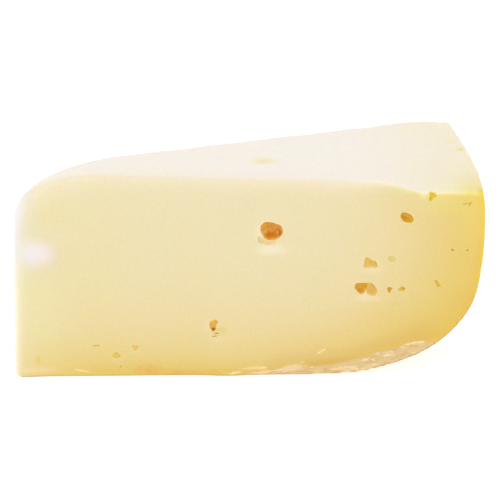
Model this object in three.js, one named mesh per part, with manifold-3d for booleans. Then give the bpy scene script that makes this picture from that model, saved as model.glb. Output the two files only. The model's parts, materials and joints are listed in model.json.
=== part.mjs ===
// A wedge of semi-hard cheese with round eyes, cut from the lower part of a wheel.
// Lengths are in millimetres and +Z is up. While it is being cut, the wheel's axis is the Z axis
// and the front cut lies in the XZ plane. The finished wedge stands on z = 0 with the middle of
// its footprint's box at the origin: the tip is at -X, the rind at +X, the front cut faces -Y.

import * as THREE from "three";
import { mergeVertices } from "three/addons/utils/BufferGeometryUtils.js";
import Module from "manifold-3d";

// The wheel: a flat base, then a side that curves out to its widest at the belly.
const WHEEL_RADIUS = 175;
const BELLY_HEIGHT = 52.6;
const SHOULDER_RUN = 67.2;
const SHOULDER_POWER = 2.72;
const WHEEL_HEIGHT = 105;
const BASE_RADIUS = 117;

// The wedge: two cuts from the rind towards the axis, and the blunt tip that they leave.
const WEDGE_ANGLE = THREE.MathUtils.degToRad(17.65);
const TIP_DISTANCE = 15.6;
const TIP_ROUND = 1.6;

// The top: sliced nearly level, falling a little from the tip to the rind.
const TOP_AT_AXIS = 78.45;
const TOP_FALL = 0.0347;
// The nose: the top's rounded-down corner over the tip.
const NOSE_LENGTH = 27;
const NOSE_DROP = 17;
const NOSE_POWER = 1.85;
// The heel: the level strip by the rind, below a soft step that runs askew across the top.
const HEEL_LEVEL = 69.65;
const HEEL_START = 131;
const HEEL_END = 156;
const HEEL_SKEW = 0.42;

// Mesh fineness.
const RIND_STEPS = 26;
const WHEEL_SEGMENTS = 300;
const TOP_COLUMNS = 64;
const TOP_ROWS = 22;
const TOP_CROWDING = 1.5;
const RIND_CROWDING = 2;
const TIP_CURVE_STEPS = 5;
const EYE_LEAST_COLUMNS = 8;
const EYE_COLUMNS_PER_MM = 4;
const EYE_ROWS_PER_COLUMN = 0.6;

// How far the cutting shapes run past what they cut, and past the tip, where it is less.
const OVERRUN = 15;
const TIP_CLEARANCE = 1;

// Corners closer than this are one corner.
const WELD_DISTANCE = 1e-5;

// Eyes in the front cut. x is the distance from the wheel's axis and z the height of the middle;
// wide, high and deep are half sizes; turn is in degrees; corners and sharp make a round eye
// into one with that many blunt corners.
const FRONT_EYES = [
  { x: 102.4, z: 55.6, wide: 3.8, high: 3.4, deep: 4.6, turn: -12, corners: 4, sharp: 0.06 },
  { x: 100.5, z: 52.2, wide: 3.0, high: 1.6, deep: 0.9, turn: -8, corners: 3, sharp: 0.12 },
  { x: 148.3, z: 60.5, wide: 2.6, high: 1.6, deep: 2.6, turn: -31, corners: 2, sharp: 0.04 },
  { x: 156.5, z: 69.2, wide: 1.9, high: 1.9, deep: 1.7, turn: 40, corners: 3, sharp: 0.14 },
  { x: 169.1, z: 65.5, wide: 1.2, high: 0.8, deep: 1.0, turn: 0, corners: 3, sharp: 0.1 },
  { x: 136.2, z: 43.3, wide: 2.4, high: 2.0, deep: 1.7, turn: -35, corners: 3, sharp: 0.2 },
  { x: 143.4, z: 45.2, wide: 1.3, high: 0.9, deep: 0.5, turn: 10, corners: 2, sharp: 0.05 },
  { x: 133.0, z: 34.1, wide: 2.2, high: 2.2, deep: 2.8, turn: 0, corners: 4, sharp: 0.06 },
  { x: 136.9, z: 33.2, wide: 2.1, high: 2.0, deep: 1.8, turn: 30, corners: 4, sharp: 0.08 },
  { x: 142.7, z: 33.3, wide: 0.9, high: 1.5, deep: 1.5, turn: 0, corners: 2, sharp: 0.05 },
  { x: 147.0, z: 33.2, wide: 1.6, high: 0.9, deep: 1.2, turn: 5, corners: 3, sharp: 0.08 },
  { x: 159.3, z: 35.5, wide: 1.8, high: 0.8, deep: 1.2, turn: -52, corners: 2, sharp: 0.05 },
  { x: 82.9, z: 19.9, wide: 1.4, high: 2.0, deep: 2.2, turn: 8, corners: 3, sharp: 0.08 },
  { x: 84.0, z: 15.9, wide: 1.4, high: 0.6, deep: 0.8, turn: -10, corners: 2, sharp: 0.05 },
  { x: 86.1, z: 17.5, wide: 1.0, high: 0.7, deep: 0.5, turn: 25, corners: 2, sharp: 0.05 },
  { x: 56.3, z: 11.5, wide: 1.4, high: 1.2, deep: 1.1, turn: 60, corners: 3, sharp: 0.18 },
  { x: 49.9, z: 8.4, wide: 1.4, high: 1.1, deep: 1.1, turn: -25, corners: 3, sharp: 0.12 },
  { x: 42.6, z: 12.4, wide: 1.3, high: 0.5, deep: 0.5, turn: 0, corners: 2, sharp: 0.05 },
  { x: 164.0, z: 48.1, wide: 0.6, high: 0.6, deep: 0.8, turn: 0, corners: 2, sharp: 0.05 },
  { x: 169.1, z: 48.0, wide: 0.5, high: 0.5, deep: 0.7, turn: 0, corners: 2, sharp: 0.05 },
  { x: 51.5, z: 4.1, wide: 0.5, high: 0.5, deep: 0.6, turn: 0, corners: 2, sharp: 0.05 },
];
// The eye that the slice across the top left open, shallow and nearly flat.
const TOP_EYE = { x: 100, y: 14.7, wide: 4.8, high: 3.2, deep: 1.1 };

// Eyes in the back cut are drawn at random: sizes as in the front cut, more of them by the rind.
const BACK_EYE_COUNT = 13;
const BACK_EYE_SEED = 71;
const BACK_EYE_LARGEST = 3.9;
const BACK_EYE_SMALLEST = 0.7;
const BACK_EYE_GAP = 7;
const BACK_EYE_MARGIN = 9;

const CHEESE_COLOUR = "#f0dda6";

const wasm = await Module();
wasm.setup();

// A seeded generator of numbers from 0 to 1, by the Park-Miller rule.
function randomNumbers(seed) {
  const multiplier = 48271;
  const modulus = 2147483647;
  let state = seed;
  return () => {
    state = (state * multiplier) % modulus;
    return state / modulus;
  };
}

// The closed solid of a three.js geometry.
function solidOf(geometry) {
  const bare = geometry.clone();
  bare.deleteAttribute("normal");
  bare.deleteAttribute("uv");
  const merged = mergeVertices(bare, WELD_DISTANCE);
  const mesh = new wasm.Mesh({
    numProp: 3,
    vertProperties: new Float32Array(merged.attributes.position.array),
    triVerts: new Uint32Array(merged.index.array),
  });
  return new wasm.Manifold(mesh);
}

// The three.js geometry of a closed solid.
function geometryOf(solid) {
  const mesh = solid.getMesh();
  const geometry = new THREE.BufferGeometry();
  geometry.setAttribute("position", new THREE.BufferAttribute(mesh.vertProperties, 3));
  geometry.setIndex(new THREE.BufferAttribute(mesh.triVerts, 1));
  return geometry;
}

// Radius of the wheel's side at a height: a superellipse about the belly.
function sideRadius(height) {
  const offset = Math.abs(height / BELLY_HEIGHT - 1);
  const reach = Math.pow(1 - Math.pow(Math.min(offset, 1), SHOULDER_POWER), 1 / SHOULDER_POWER);
  return WHEEL_RADIUS - SHOULDER_RUN * (1 - reach);
}

// The wheel, turned about its axis. Heights on the side close up towards the base,
// where the side curves most.
function wheel() {
  const profile = [new THREE.Vector2(0, 0), new THREE.Vector2(BASE_RADIUS, 0)];
  for (let step = 1; step <= RIND_STEPS; step += 1) {
    const height = WHEEL_HEIGHT * Math.pow(step / RIND_STEPS, RIND_CROWDING);
    profile.push(new THREE.Vector2(sideRadius(height), height));
  }
  profile.push(new THREE.Vector2(0, WHEEL_HEIGHT));
  const geometry = new THREE.LatheGeometry(profile, WHEEL_SEGMENTS);
  geometry.rotateX(Math.PI / 2);
  return solidOf(geometry);
}

// The space between the two cuts, as high as the wheel, with the tip's two rounded corners.
function wedgeSpace() {
  const sine = Math.sin(WEDGE_ANGLE);
  const cosine = Math.cos(WEDGE_ANGLE);
  const reach = WHEEL_RADIUS + OVERRUN;
  const roundX = TIP_DISTANCE + TIP_ROUND;
  const backRoundY = (roundX * sine - TIP_ROUND) / cosine;
  const outline = new THREE.Shape();
  outline.moveTo(reach / cosine, 0);
  outline.lineTo(reach * cosine, reach * sine);
  outline.absarc(roundX, backRoundY, TIP_ROUND, Math.PI / 2 + WEDGE_ANGLE, Math.PI, false);
  outline.absarc(roundX, TIP_ROUND, TIP_ROUND, Math.PI, 1.5 * Math.PI, false);
  const height = WHEEL_HEIGHT + 2 * OVERRUN;
  const options = { depth: height, bevelEnabled: false, curveSegments: TIP_CURVE_STEPS };
  const geometry = new THREE.ExtrudeGeometry(outline, options);
  geometry.translate(0, 0, -OVERRUN);
  return solidOf(geometry);
}

// Height of the top: the sliced plane, the nose over the tip and the heel by the rind.
function topHeight(x, y) {
  const plane = TOP_AT_AXIS - TOP_FALL * x;
  const towardsTip = THREE.MathUtils.clamp((TIP_DISTANCE + NOSE_LENGTH - x) / NOSE_LENGTH, 0, 1);
  const noseShare = 1 - Math.pow(1 - Math.pow(towardsTip, NOSE_POWER), 1 / NOSE_POWER);
  const shift = HEEL_SKEW * y;
  const heelShare = THREE.MathUtils.smoothstep(x, HEEL_START + shift, HEEL_END + shift);
  return THREE.MathUtils.lerp(plane, HEEL_LEVEL, heelShare) - NOSE_DROP * noseShare;
}

// What the slice across the top takes away: a block whose underside is the top's surface.
// Its columns close up towards the tip, where the nose is steepest.
function topWaste() {
  const length = WHEEL_RADIUS + OVERRUN - TIP_DISTANCE;
  const width = WHEEL_RADIUS * Math.sin(WEDGE_ANGLE) + 2 * OVERRUN;
  const geometry = new THREE.BoxGeometry(1, 1, 1, TOP_COLUMNS, TOP_ROWS, 1);
  const place = geometry.attributes.position;
  for (let index = 0; index < place.count; index += 1) {
    const along = Math.pow(Math.max(place.getX(index) + 0.5, 0), TOP_CROWDING);
    const x = TIP_DISTANCE - TIP_CLEARANCE + length * along;
    const y = (place.getY(index) + 0.5) * width - OVERRUN;
    const z = place.getZ(index) > 0 ? WHEEL_HEIGHT + OVERRUN : topHeight(x, y);
    place.setXYZ(index, x, y, z);
  }
  return solidOf(geometry);
}

// One eye as a solid about the origin: an ellipsoid across XZ, deep along Y, pushed out of
// round by its corners.
function eyeGeometry(eye) {
  const columns = EYE_LEAST_COLUMNS + Math.round(EYE_COLUMNS_PER_MM * eye.wide);
  const rows = Math.round(EYE_ROWS_PER_COLUMN * columns);
  const geometry = new THREE.SphereGeometry(1, columns, rows);
  geometry.rotateX(Math.PI / 2);
  const place = geometry.attributes.position;
  for (let index = 0; index < place.count; index += 1) {
    const around = Math.atan2(place.getZ(index), place.getX(index));
    const bulge = 1 + eye.sharp * Math.cos(eye.corners * around);
    const x = place.getX(index) * bulge;
    const z = place.getZ(index) * bulge;
    place.setXYZ(index, x * eye.wide, place.getY(index) * eye.deep, z * eye.high);
  }
  geometry.rotateY(-THREE.MathUtils.degToRad(eye.turn));
  return geometry;
}

// The front cut's eyes, each with its middle on the cut.
function frontEyes() {
  return FRONT_EYES.map((eye) => solidOf(eyeGeometry(eye).translate(eye.x, 0, eye.z)));
}

// The eye in the top, with its middle on the slice.
function topEye() {
  const eye = { ...TOP_EYE, turn: 0, corners: 3, sharp: 0.05 };
  const geometry = eyeGeometry(eye);
  geometry.rotateX(Math.PI / 2);
  return solidOf(geometry.translate(eye.x, eye.y, topHeight(eye.x, eye.y)));
}

// The back cut's eyes: each is drawn again until it is clear of the edges and of the others.
function backEyes() {
  const random = randomNumbers(BACK_EYE_SEED);
  const placed = [];
  while (placed.length < BACK_EYE_COUNT) {
    const share = random();
    const size = BACK_EYE_SMALLEST + (BACK_EYE_LARGEST - BACK_EYE_SMALLEST) * Math.pow(share, 3);
    const eye = {
      x: TIP_DISTANCE + (WHEEL_RADIUS - TIP_DISTANCE) * Math.sqrt(random()),
      z: TOP_AT_AXIS * random(),
      wide: size * (0.8 + 0.4 * random()),
      high: size * (0.7 + 0.3 * random()),
      deep: size,
      turn: 180 * random(),
      corners: 2 + Math.floor(3 * random()),
      sharp: 0.04 + 0.1 * random(),
    };
    const margin = BACK_EYE_MARGIN;
    const inside =
      eye.x > TIP_DISTANCE + margin &&
      eye.x < sideRadius(eye.z) - margin &&
      eye.z > margin &&
      eye.z < topHeight(eye.x, 0) - margin;
    const apart = placed.every(
      (other) => Math.hypot(other.x - eye.x, other.z - eye.z) > BACK_EYE_GAP + eye.wide,
    );
    if (inside && apart) {
      placed.push(eye);
    }
  }
  return placed.map((eye) => {
    const geometry = eyeGeometry(eye).translate(eye.x, 0, eye.z);
    return solidOf(geometry.rotateZ(WEDGE_ANGLE));
  });
}

// The wedge: the wheel between the two cuts, less the top's waste and the eyes.
function cheeseWedge() {
  let solid = wheel().intersect(wedgeSpace()).subtract(topWaste());
  for (const eye of [...frontEyes(), topEye(), ...backEyes()]) {
    solid = solid.subtract(eye);
  }
  const geometry = geometryOf(solid);
  geometry.computeBoundingBox();
  const middle = geometry.boundingBox.getCenter(new THREE.Vector3());
  geometry.translate(-middle.x, -middle.y, 0);
  geometry.computeVertexNormals();
  return geometry;
}

const cheese = new THREE.MeshStandardMaterial({
  color: CHEESE_COLOUR,
  roughness: 0.55,
  metalness: 0,
});
const cheeseMesh = new THREE.Mesh(cheeseWedge(), cheese);
cheeseMesh.name = "cheese_wedge";

const model = new THREE.Group();
model.add(cheeseMesh);

export default model;
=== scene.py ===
"""A wedge of semi-hard cheese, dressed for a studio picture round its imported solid.

Lengths are metres unless a name or a property says millimetres. Most shapes are worked out in the
wheel's own frame, where the wheel's axis is Z and the front cut lies in the XZ plane.
"""

import json
import math

import bmesh
import bpy
import numpy as np
from mathutils import Matrix, Quaternion, Vector, noise

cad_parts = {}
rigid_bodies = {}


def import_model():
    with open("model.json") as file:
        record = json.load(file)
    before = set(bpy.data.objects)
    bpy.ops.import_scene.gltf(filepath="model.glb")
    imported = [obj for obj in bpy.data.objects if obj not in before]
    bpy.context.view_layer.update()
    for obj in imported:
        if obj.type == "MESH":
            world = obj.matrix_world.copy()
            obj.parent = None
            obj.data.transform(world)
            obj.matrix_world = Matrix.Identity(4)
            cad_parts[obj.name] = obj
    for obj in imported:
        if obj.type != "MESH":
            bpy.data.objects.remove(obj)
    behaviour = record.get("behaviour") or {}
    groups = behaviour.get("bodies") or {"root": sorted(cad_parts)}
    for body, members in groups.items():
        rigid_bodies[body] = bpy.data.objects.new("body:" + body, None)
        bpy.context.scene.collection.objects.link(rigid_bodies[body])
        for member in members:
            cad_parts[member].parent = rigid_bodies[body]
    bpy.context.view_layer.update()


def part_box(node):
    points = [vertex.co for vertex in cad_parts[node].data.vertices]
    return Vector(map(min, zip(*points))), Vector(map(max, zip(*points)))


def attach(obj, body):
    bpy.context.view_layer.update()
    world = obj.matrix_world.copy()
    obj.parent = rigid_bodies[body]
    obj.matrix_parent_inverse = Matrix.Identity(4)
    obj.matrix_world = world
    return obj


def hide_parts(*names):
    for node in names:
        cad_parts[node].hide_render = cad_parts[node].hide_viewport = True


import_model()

bl_info = {
    "name": "Cheese wedge",
    "version": (1, 0, 0),
    "blender": (4, 5, 0),
    "location": "3D Viewport > Sidebar > Cheese",
    "description": "Cuts a wedge of semi-hard cheese with eyes and a rind, and sets it on a stage",
    "category": "Add Mesh",
}

NODE = "cheese_wedge"
PIECE = "cheese"
MM = 0.001
CAD_LOW, CAD_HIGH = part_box(NODE)

# ---------------------------------------------------------------------------- sizes and colours


def linear(hex_colour):
    """The linear RGB of an sRGB hex colour such as "#F0DDA6"."""
    parts = [int(hex_colour[i : i + 2], 16) / 255 for i in (1, 3, 5)]
    return tuple(c / 12.92 if c <= 0.04045 else ((c + 0.055) / 1.055) ** 2.4 for c in parts)


def length(name, description, millimetres):
    """A length property whose default is given in millimetres."""
    return bpy.props.FloatProperty(
        name=name,
        description=description,
        default=millimetres * MM,
        subtype="DISTANCE",
        unit="LENGTH",
        precision=5,
    )


def colour(name, description, hex_colour):
    """A colour property whose default is an sRGB hex colour."""
    return bpy.props.FloatVectorProperty(
        name=name,
        description=description,
        default=linear(hex_colour),
        size=3,
        min=0.0,
        max=1.0,
        subtype="COLOR",
    )


def plain(name, description, default):
    """A number property without a unit."""
    return bpy.props.FloatProperty(name=name, description=description, default=default)


class WedgeSizes(bpy.types.PropertyGroup):
    """The sizes that the wedge is cut to."""

    belly_height: length("Belly height", "Height of the wheel's widest part", 52.6)
    shoulder_run: length("Shoulder run", "How far the side curves in down to the base", 67.2)
    shoulder_power: plain("Shoulder power", "Fullness of the side's curve", 2.72)
    base_radius: length("Base radius", "Radius of the wheel's flat base", 117)
    wedge_angle: bpy.props.FloatProperty(
        name="Wedge angle",
        description="Angle between the two cuts",
        default=math.radians(17.65),
        subtype="ANGLE",
        unit="ROTATION",
    )
    tip_distance: length("Tip distance", "From the wheel's axis to the blunt tip", 15.6)
    tip_round: length("Tip round", "Radius of the tip's worn edges", 1.7)
    top_at_axis: length("Top at axis", "Height that the top would have at the axis", 78.45)
    top_fall: plain("Top fall", "How much the top falls for each metre from the axis", 0.0347)
    top_tilt: plain("Top tilt", "How much the top rises for each metre from the front cut", 0.009)
    nose_length: length("Nose length", "Length of the rounded-down corner over the tip", 32)
    nose_drop: length("Nose drop", "How far the top comes down over the tip", 17)
    nose_power: plain("Nose power", "Fullness of the nose's curve", 2.05)
    heel_level: length("Heel level", "Height of the top beside the rind", 69.65)
    heel_start: length("Heel start", "Where the step down to the heel starts", 139.6)
    heel_end: length("Heel end", "Where the step down to the heel ends", 155)
    heel_skew: plain("Heel skew", "How askew the step runs across the top", 0.248)
    heel_spread: plain("Heel spread", "How much the step widens across the top", 0.195)
    out_of_round: plain("Out of round", "Share that the radius grows by towards the back", 0.0046)
    skin_fineness: length("Skin fineness", "Spacing of the finished mesh", 0.7)
    unevenness: length("Unevenness", "Depth of the broad waves of a cut by hand", 0.16)


class CheeseColours(bpy.types.PropertyGroup):
    """The colours of the cheese, from its heart to its rind."""

    heart: colour("Heart", "Paste in the middle of the wheel", "#E1D5AF")
    mellow: colour("Mellow", "Paste halfway to the rind", "#E0CE99")
    ripe: colour("Ripe", "Paste near the rind", "#DCC472")
    dried: colour("Dried", "Dried paste just under the rind", "#DCB94D")
    # The top's pale colours: partly a dried bloom, partly painted sheen where the top faces the
    # light.
    top_heart: colour("Top heart", "Dry bloom on the sliced top", "#F1EAE0")
    top_ripe: colour("Top ripe", "The sliced top near the rind", "#F0E7CB")
    eye_rim: colour("Eye, rim", "Wall of an eye at its rim", "#E2CD95")
    eye_ripe: colour("Eye, ripe", "What tints the eyes near the rind", "#FCF9AD")
    eye_shallow: colour("Eye, shallow", "Wall of an eye near its rim", "#E7C479")
    eye_middle: colour("Eye, middle", "Wall of an eye two millimetres in", "#F0C561")
    eye_deep: colour("Eye, deep", "Wall of an eye far inside", "#F0BC3C")
    # The floor of an eye is a deeper orange where its wall faces up.
    eye_floor: colour("Eye, floor", "Floor of an eye, where the whey gathered", "#DD8921")
    eye_roof: colour("Eye, roof", "Shaded upper edge of an eye", "#C5A445")
    rind: colour("Rind", "Breathing coat over the natural rind", "#E6B04A")
    rind_dark: colour("Rind, dark", "Darker patches of the rind", "#D99E40")
    scuff: colour("Scuff", "Scuffed edge of the coat along the cut", "#DABF89")
    # Darker strokes in the scuffed strip, and painted glints on it.
    scuff_dark: colour("Scuff, dark", "Folds in the scuffed edge", "#D1AA71")
    scuff_glint: colour("Scuff glint", "Flakes and folds that catch the light", "#F3E2BC")
    stain: colour("Stain", "Orange paste where the coat was pressed in", "#DBB256")
    torn: colour("Torn", "Paste torn by the wire", "#F6DE9A")
    rim: colour("Rim", "Thin line of paste against the rind", "#E3C430")
    rind_lip: colour("Rind, lip", "Rind where the slice across the top meets it", "#EDE6D5")
    # The rind low by the cut: brown, partly painted shade where the wedge meets the floor.
    rind_foot_and_shade: colour("Rind, foot", "Rind that turns in under the cut", "#B58E55")
    lemon: colour("Lemon", "Fresh paste at the step's sharp edge", "#ECDD86")
    # Painted shade along the front cut's lower edge, where the wedge meets the floor.
    painted_contact_shade: colour("Contact", "What darkens the cut's moist lower edge", "#CEC0A7")
    floor: colour("Floor", "Pale studio floor", "#AAAAAA")


class StageSettings(bpy.types.PropertyGroup):
    """The stage: where the camera stands and how strong the lights are."""

    camera_azimuth: plain("Azimuth", "Camera's bearing in degrees, 0 looks along +Y", 2.5585)
    camera_elevation: plain("Elevation", "Camera's height in degrees above the horizon", 27.07)
    camera_roll: plain("Roll", "Camera's roll in degrees, anticlockwise", 0.8134)
    camera_distance: length("Distance", "From the camera to its target", 1500)
    camera_lens: plain("Lens", "Focal length in millimetres on a 36 mm sensor", 313.3)
    sky_strength: plain("Sky strength", "Strength of the even white surroundings", 0.93)
    key_power: plain("Key power", "Power of the key light in watts", 2.9)
    fill_power: plain("Fill power", "Power of the fill light in watts", 0.5)


# ------------------------------------------------------------------------- the wheel's own frame


SIDE_SAMPLES = 160
# Where the side is a little fuller or flatter: height, half width and rise, in millimetres.
SIDE_SWELLS = ((27.0, 5.5, 0.33), (41.5, 7.0, -0.24))


def wheel_axis(sizes):
    """Where the wheel's axis stands in the row's frame."""
    return Vector((CAD_LOW.x - sizes.tip_distance, CAD_LOW.y, 0.0))


def wheel_radius(sizes):
    """The wheel's radius at its belly."""
    return CAD_HIGH.x - wheel_axis(sizes).x


def smooth_step(value, start, end):
    """0 before start, 1 after end and a smooth rise between them."""
    share = np.clip((np.asarray(value, float) - start) / (end - start), 0.0, 1.0)
    return share * share * (3.0 - 2.0 * share)


def fading(value, start, end):
    """1 before start, 0 after end and a smooth fall between them."""
    return 1.0 - smooth_step(value, start, end)


def hump(off, width, power=2.0):
    """A bell: 1 at nothing, falling off within about that width on both sides."""
    return np.exp(-(np.abs(off / width) ** power))


def shift(first, second, share):
    """The first value, turning into the second one as the share goes from 0 to 1."""
    return first + (second - first) * share


def side_radius(sizes, height):
    """Radius of the wheel's side at a height: a superellipse about the belly, with swells."""
    power = sizes.shoulder_power
    height = np.asarray(height, float)
    offset = np.minimum(np.abs(height / sizes.belly_height - 1.0), 1.0)
    reach = (1.0 - offset**power) ** (1.0 / power)
    radius = wheel_radius(sizes) - sizes.shoulder_run * (1.0 - reach)
    for middle, half, rise in SIDE_SWELLS:
        radius = radius + rise * MM * hump(height / MM - middle, half)
    return radius


def top_height(sizes, x, y):
    """Height of the sliced top: a plane, the nose over the tip and the heel by the rind."""
    x, y = np.asarray(x, float), np.asarray(y, float)
    plane = sizes.top_at_axis - sizes.top_fall * x + sizes.top_tilt * y
    nose_end = sizes.tip_distance + sizes.nose_length
    towards_tip = np.clip((nose_end - x) / sizes.nose_length, 0.0, 1.0)
    nose = 1.0 - (1.0 - towards_tip**sizes.nose_power) ** (1.0 / sizes.nose_power)
    start = sizes.heel_start + sizes.heel_skew * y
    end = sizes.heel_end + (sizes.heel_skew + sizes.heel_spread) * y
    heel = smooth_step(x, start, end)
    return plane + (sizes.heel_level - plane) * heel - sizes.nose_drop * nose


def swelling(sizes, x, y):
    """What the wheel's radius is multiplied by there, as the wheel isn't quite round."""
    turn = np.arctan2(y, x) / sizes.wedge_angle
    return 1.0 + sizes.out_of_round * np.clip(turn, 0.0, 1.0)


def rind_profile(sizes):
    """Radii, heights and arc lengths of points along the rind, from the base's middle upwards."""
    heights = sizes.top_at_axis * np.linspace(0.0, 1.0, SIDE_SAMPLES) ** 2
    radii = np.concatenate(((0.0,), side_radius(sizes, heights)))
    heights = np.concatenate(((0.0,), heights))
    steps = np.hypot(np.diff(radii), np.diff(heights))
    arcs = np.concatenate(((0.0,), np.cumsum(steps)))
    return radii, heights, arcs


class WheelPlaces:
    """Places in the wheel's frame: how far each lies inside every face of the wedge."""

    def __init__(self, sizes, points):
        axis = wheel_axis(sizes)
        self.x = points[:, 0] - axis.x
        self.y = points[:, 1] - axis.y
        self.z = points[:, 2]
        self.radius = np.hypot(self.x, self.y) / swelling(sizes, self.x, self.y)
        angle = sizes.wedge_angle
        self.in_front = self.y
        self.in_back = self.x * math.sin(angle) - self.y * math.cos(angle)
        self.in_tip = self.x - sizes.tip_distance
        self.in_top = top_height(sizes, self.x, self.y) - self.z
        self.in_base = self.z
        self.level_to_rind = np.maximum(side_radius(sizes, self.z) - self.radius, 0.0)
        radii, heights, _ = rind_profile(sizes)
        lower = heights < sizes.belly_height
        under = np.interp(self.radius, radii[lower], heights[lower])
        self.above_rind = np.maximum(self.z - under, 0.0)
        self.in_rind = np.full(len(self.x), np.inf)
        self.rind_arc = np.zeros(len(self.x))
        self._find_rind(sizes)

    def _find_rind(self, sizes):
        """The nearest point of the rind: its distance and its arc length along the profile."""
        radii, heights, arcs = rind_profile(sizes)
        for step in range(len(arcs) - 1):
            out, up = radii[step + 1] - radii[step], heights[step + 1] - heights[step]
            run = arcs[step + 1] - arcs[step]
            off_x, off_z = self.radius - radii[step], self.z - heights[step]
            along = np.clip((off_x * out + off_z * up) / run, 0.0, run)
            away = np.hypot(off_x - along * out / run, off_z - along * up / run)
            nearer = away < self.in_rind
            self.in_rind[nearer] = away[nearer]
            self.rind_arc[nearer] = arcs[step] + along[nearer]

    def inside(self):
        """Distance below the nearest face of the uncut wedge."""
        faces = (self.in_front, self.in_back, self.in_tip, self.in_top, self.in_rind)
        return np.min(np.stack(faces), axis=0)


# --------------------------------------------------------------------------------- mesh handling


def new_piece(name, mesh):
    """Puts a mesh in the scene as an object at the origin."""
    piece = bpy.data.objects.new(name, mesh)
    bpy.context.scene.collection.objects.link(piece)
    return piece


def mesh_from(bm, name):
    """Ends a bmesh with its faces pointing outwards, as a mesh."""
    bmesh.ops.recalc_face_normals(bm, faces=bm.faces)
    mesh = bpy.data.meshes.new(name)
    bm.to_mesh(mesh)
    bm.free()
    return mesh


def apply_modifiers(piece):
    """Gives a piece the mesh that its modifiers make, and clears them."""
    graph = bpy.context.evaluated_depsgraph_get()
    made = bpy.data.meshes.new_from_object(piece.evaluated_get(graph))
    spent = piece.data
    piece.modifiers.clear()
    piece.data = made
    bpy.data.meshes.remove(spent)


def subtract(piece, cutters):
    """Takes closed meshes away from a piece in one cut. The new walls get the cutters' material."""
    tools = bpy.data.collections.new("cutters")
    for number, mesh in enumerate(cutters):
        tools.objects.link(bpy.data.objects.new(f"cutter_{number}", mesh))
    bpy.context.scene.collection.children.link(tools)
    cut = piece.modifiers.new("cut", "BOOLEAN")
    cut.operation = "DIFFERENCE"
    cut.operand_type = "COLLECTION"
    cut.solver = "MANIFOLD"
    cut.material_mode = "TRANSFER"
    cut.collection = tools
    apply_modifiers(piece)
    for tool in list(tools.objects):
        spent = tool.data
        bpy.data.objects.remove(tool)
        bpy.data.meshes.remove(spent)
    bpy.data.collections.remove(tools)


def points_of(mesh):
    """The vertices' places and normals as arrays."""
    places = np.empty(len(mesh.vertices) * 3, np.float32)
    normals = np.empty(len(mesh.vertices) * 3, np.float32)
    mesh.vertices.foreach_get("co", places)
    mesh.vertex_normals.foreach_get("vector", normals)
    return places.reshape(-1, 3).astype(float), normals.reshape(-1, 3).astype(float)


def waves(points, wavelength, seed):
    """Smooth seeded noise from -1 to 1 at each point, with waves about that long."""
    astray = Vector((seed * 17.3, seed * 5.1, seed * 11.7))
    return np.array([noise.noise(Vector(p) / wavelength + astray) for p in points])


# ---------------------------------------------------------------------------------- the cut body

# How finely the slice is divided: between the cuts, up its side and round the tip's foot.
SPIN_STEPS = 24
SIDE_STEPS = 40
TIP_CORNER_STEPS = 5
# How finely the sheet over the top is divided, and how much closer its columns are by the tip.
TOP_COLUMNS = 110
TOP_ROWS = 34
TOP_CROWDING = 1.5
# How far the slice stands over its top, and how far the sheet runs past the wedge.
SPARE_HEIGHT = 25 * MM
OVERRUN = 12 * MM
MERGE_DISTANCE = 0.001 * MM
# Wear in passes of smoothing: all over, along the top's front edge, a wider band of it that ends
# before the step, along the back edge, and over the nose, whose foot is at that height.
SOFTENING_PASSES = 2
EDGE_WEAR = 3.5 * MM
EDGE_WEAR_PASSES = 10
WIDE_WEAR = 5 * MM
WIDE_WEAR_PASSES = 14
WIDE_WEAR_END = 132 * MM
BACK_WEAR_PASSES = 4
NOSE_WEAR = 7 * MM
NOSE_WEAR_PASSES = 12
NOSE_WEAR_REACHES = (21 * MM, 26 * MM, 31 * MM)
NOSE_WEAR_FOOT = 42 * MM


def wheel_slice(sizes):
    """The wheel's slice between the two cuts: the front cut's outline, spun about the axis."""
    axis = wheel_axis(sizes)
    height = sizes.top_at_axis + SPARE_HEIGHT
    outline = [(sizes.tip_distance, height)]
    for step in range(TIP_CORNER_STEPS + 1):
        turn = 0.5 * math.pi * step / TIP_CORNER_STEPS
        x = sizes.tip_distance + sizes.tip_round * (1.0 - math.cos(turn))
        outline.append((x, sizes.tip_round * (1.0 - math.sin(turn))))
    outline.append((sizes.base_radius, 0.0))
    for step in range(1, SIDE_STEPS + 1):
        level = height * (step / SIDE_STEPS) ** 2
        outline.append((float(side_radius(sizes, level)), level))
    bm = bmesh.new()
    corners = [bm.verts.new((axis.x + x, axis.y, z)) for x, z in outline]
    sheet = bm.faces.new(corners)
    bmesh.ops.spin(
        bm,
        geom=[sheet, *sheet.edges, *sheet.verts],
        cent=axis,
        axis=(0.0, 0.0, 1.0),
        angle=sizes.wedge_angle,
        steps=SPIN_STEPS,
        use_duplicate=False,
    )
    bmesh.ops.remove_doubles(bm, verts=bm.verts, dist=MERGE_DISTANCE)
    for vert in bm.verts:
        out = vert.co - axis
        growth = float(swelling(sizes, out.x, out.y))
        vert.co = axis + Vector((out.x * growth, out.y * growth, out.z))
    return mesh_from(bm, "slice")


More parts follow.
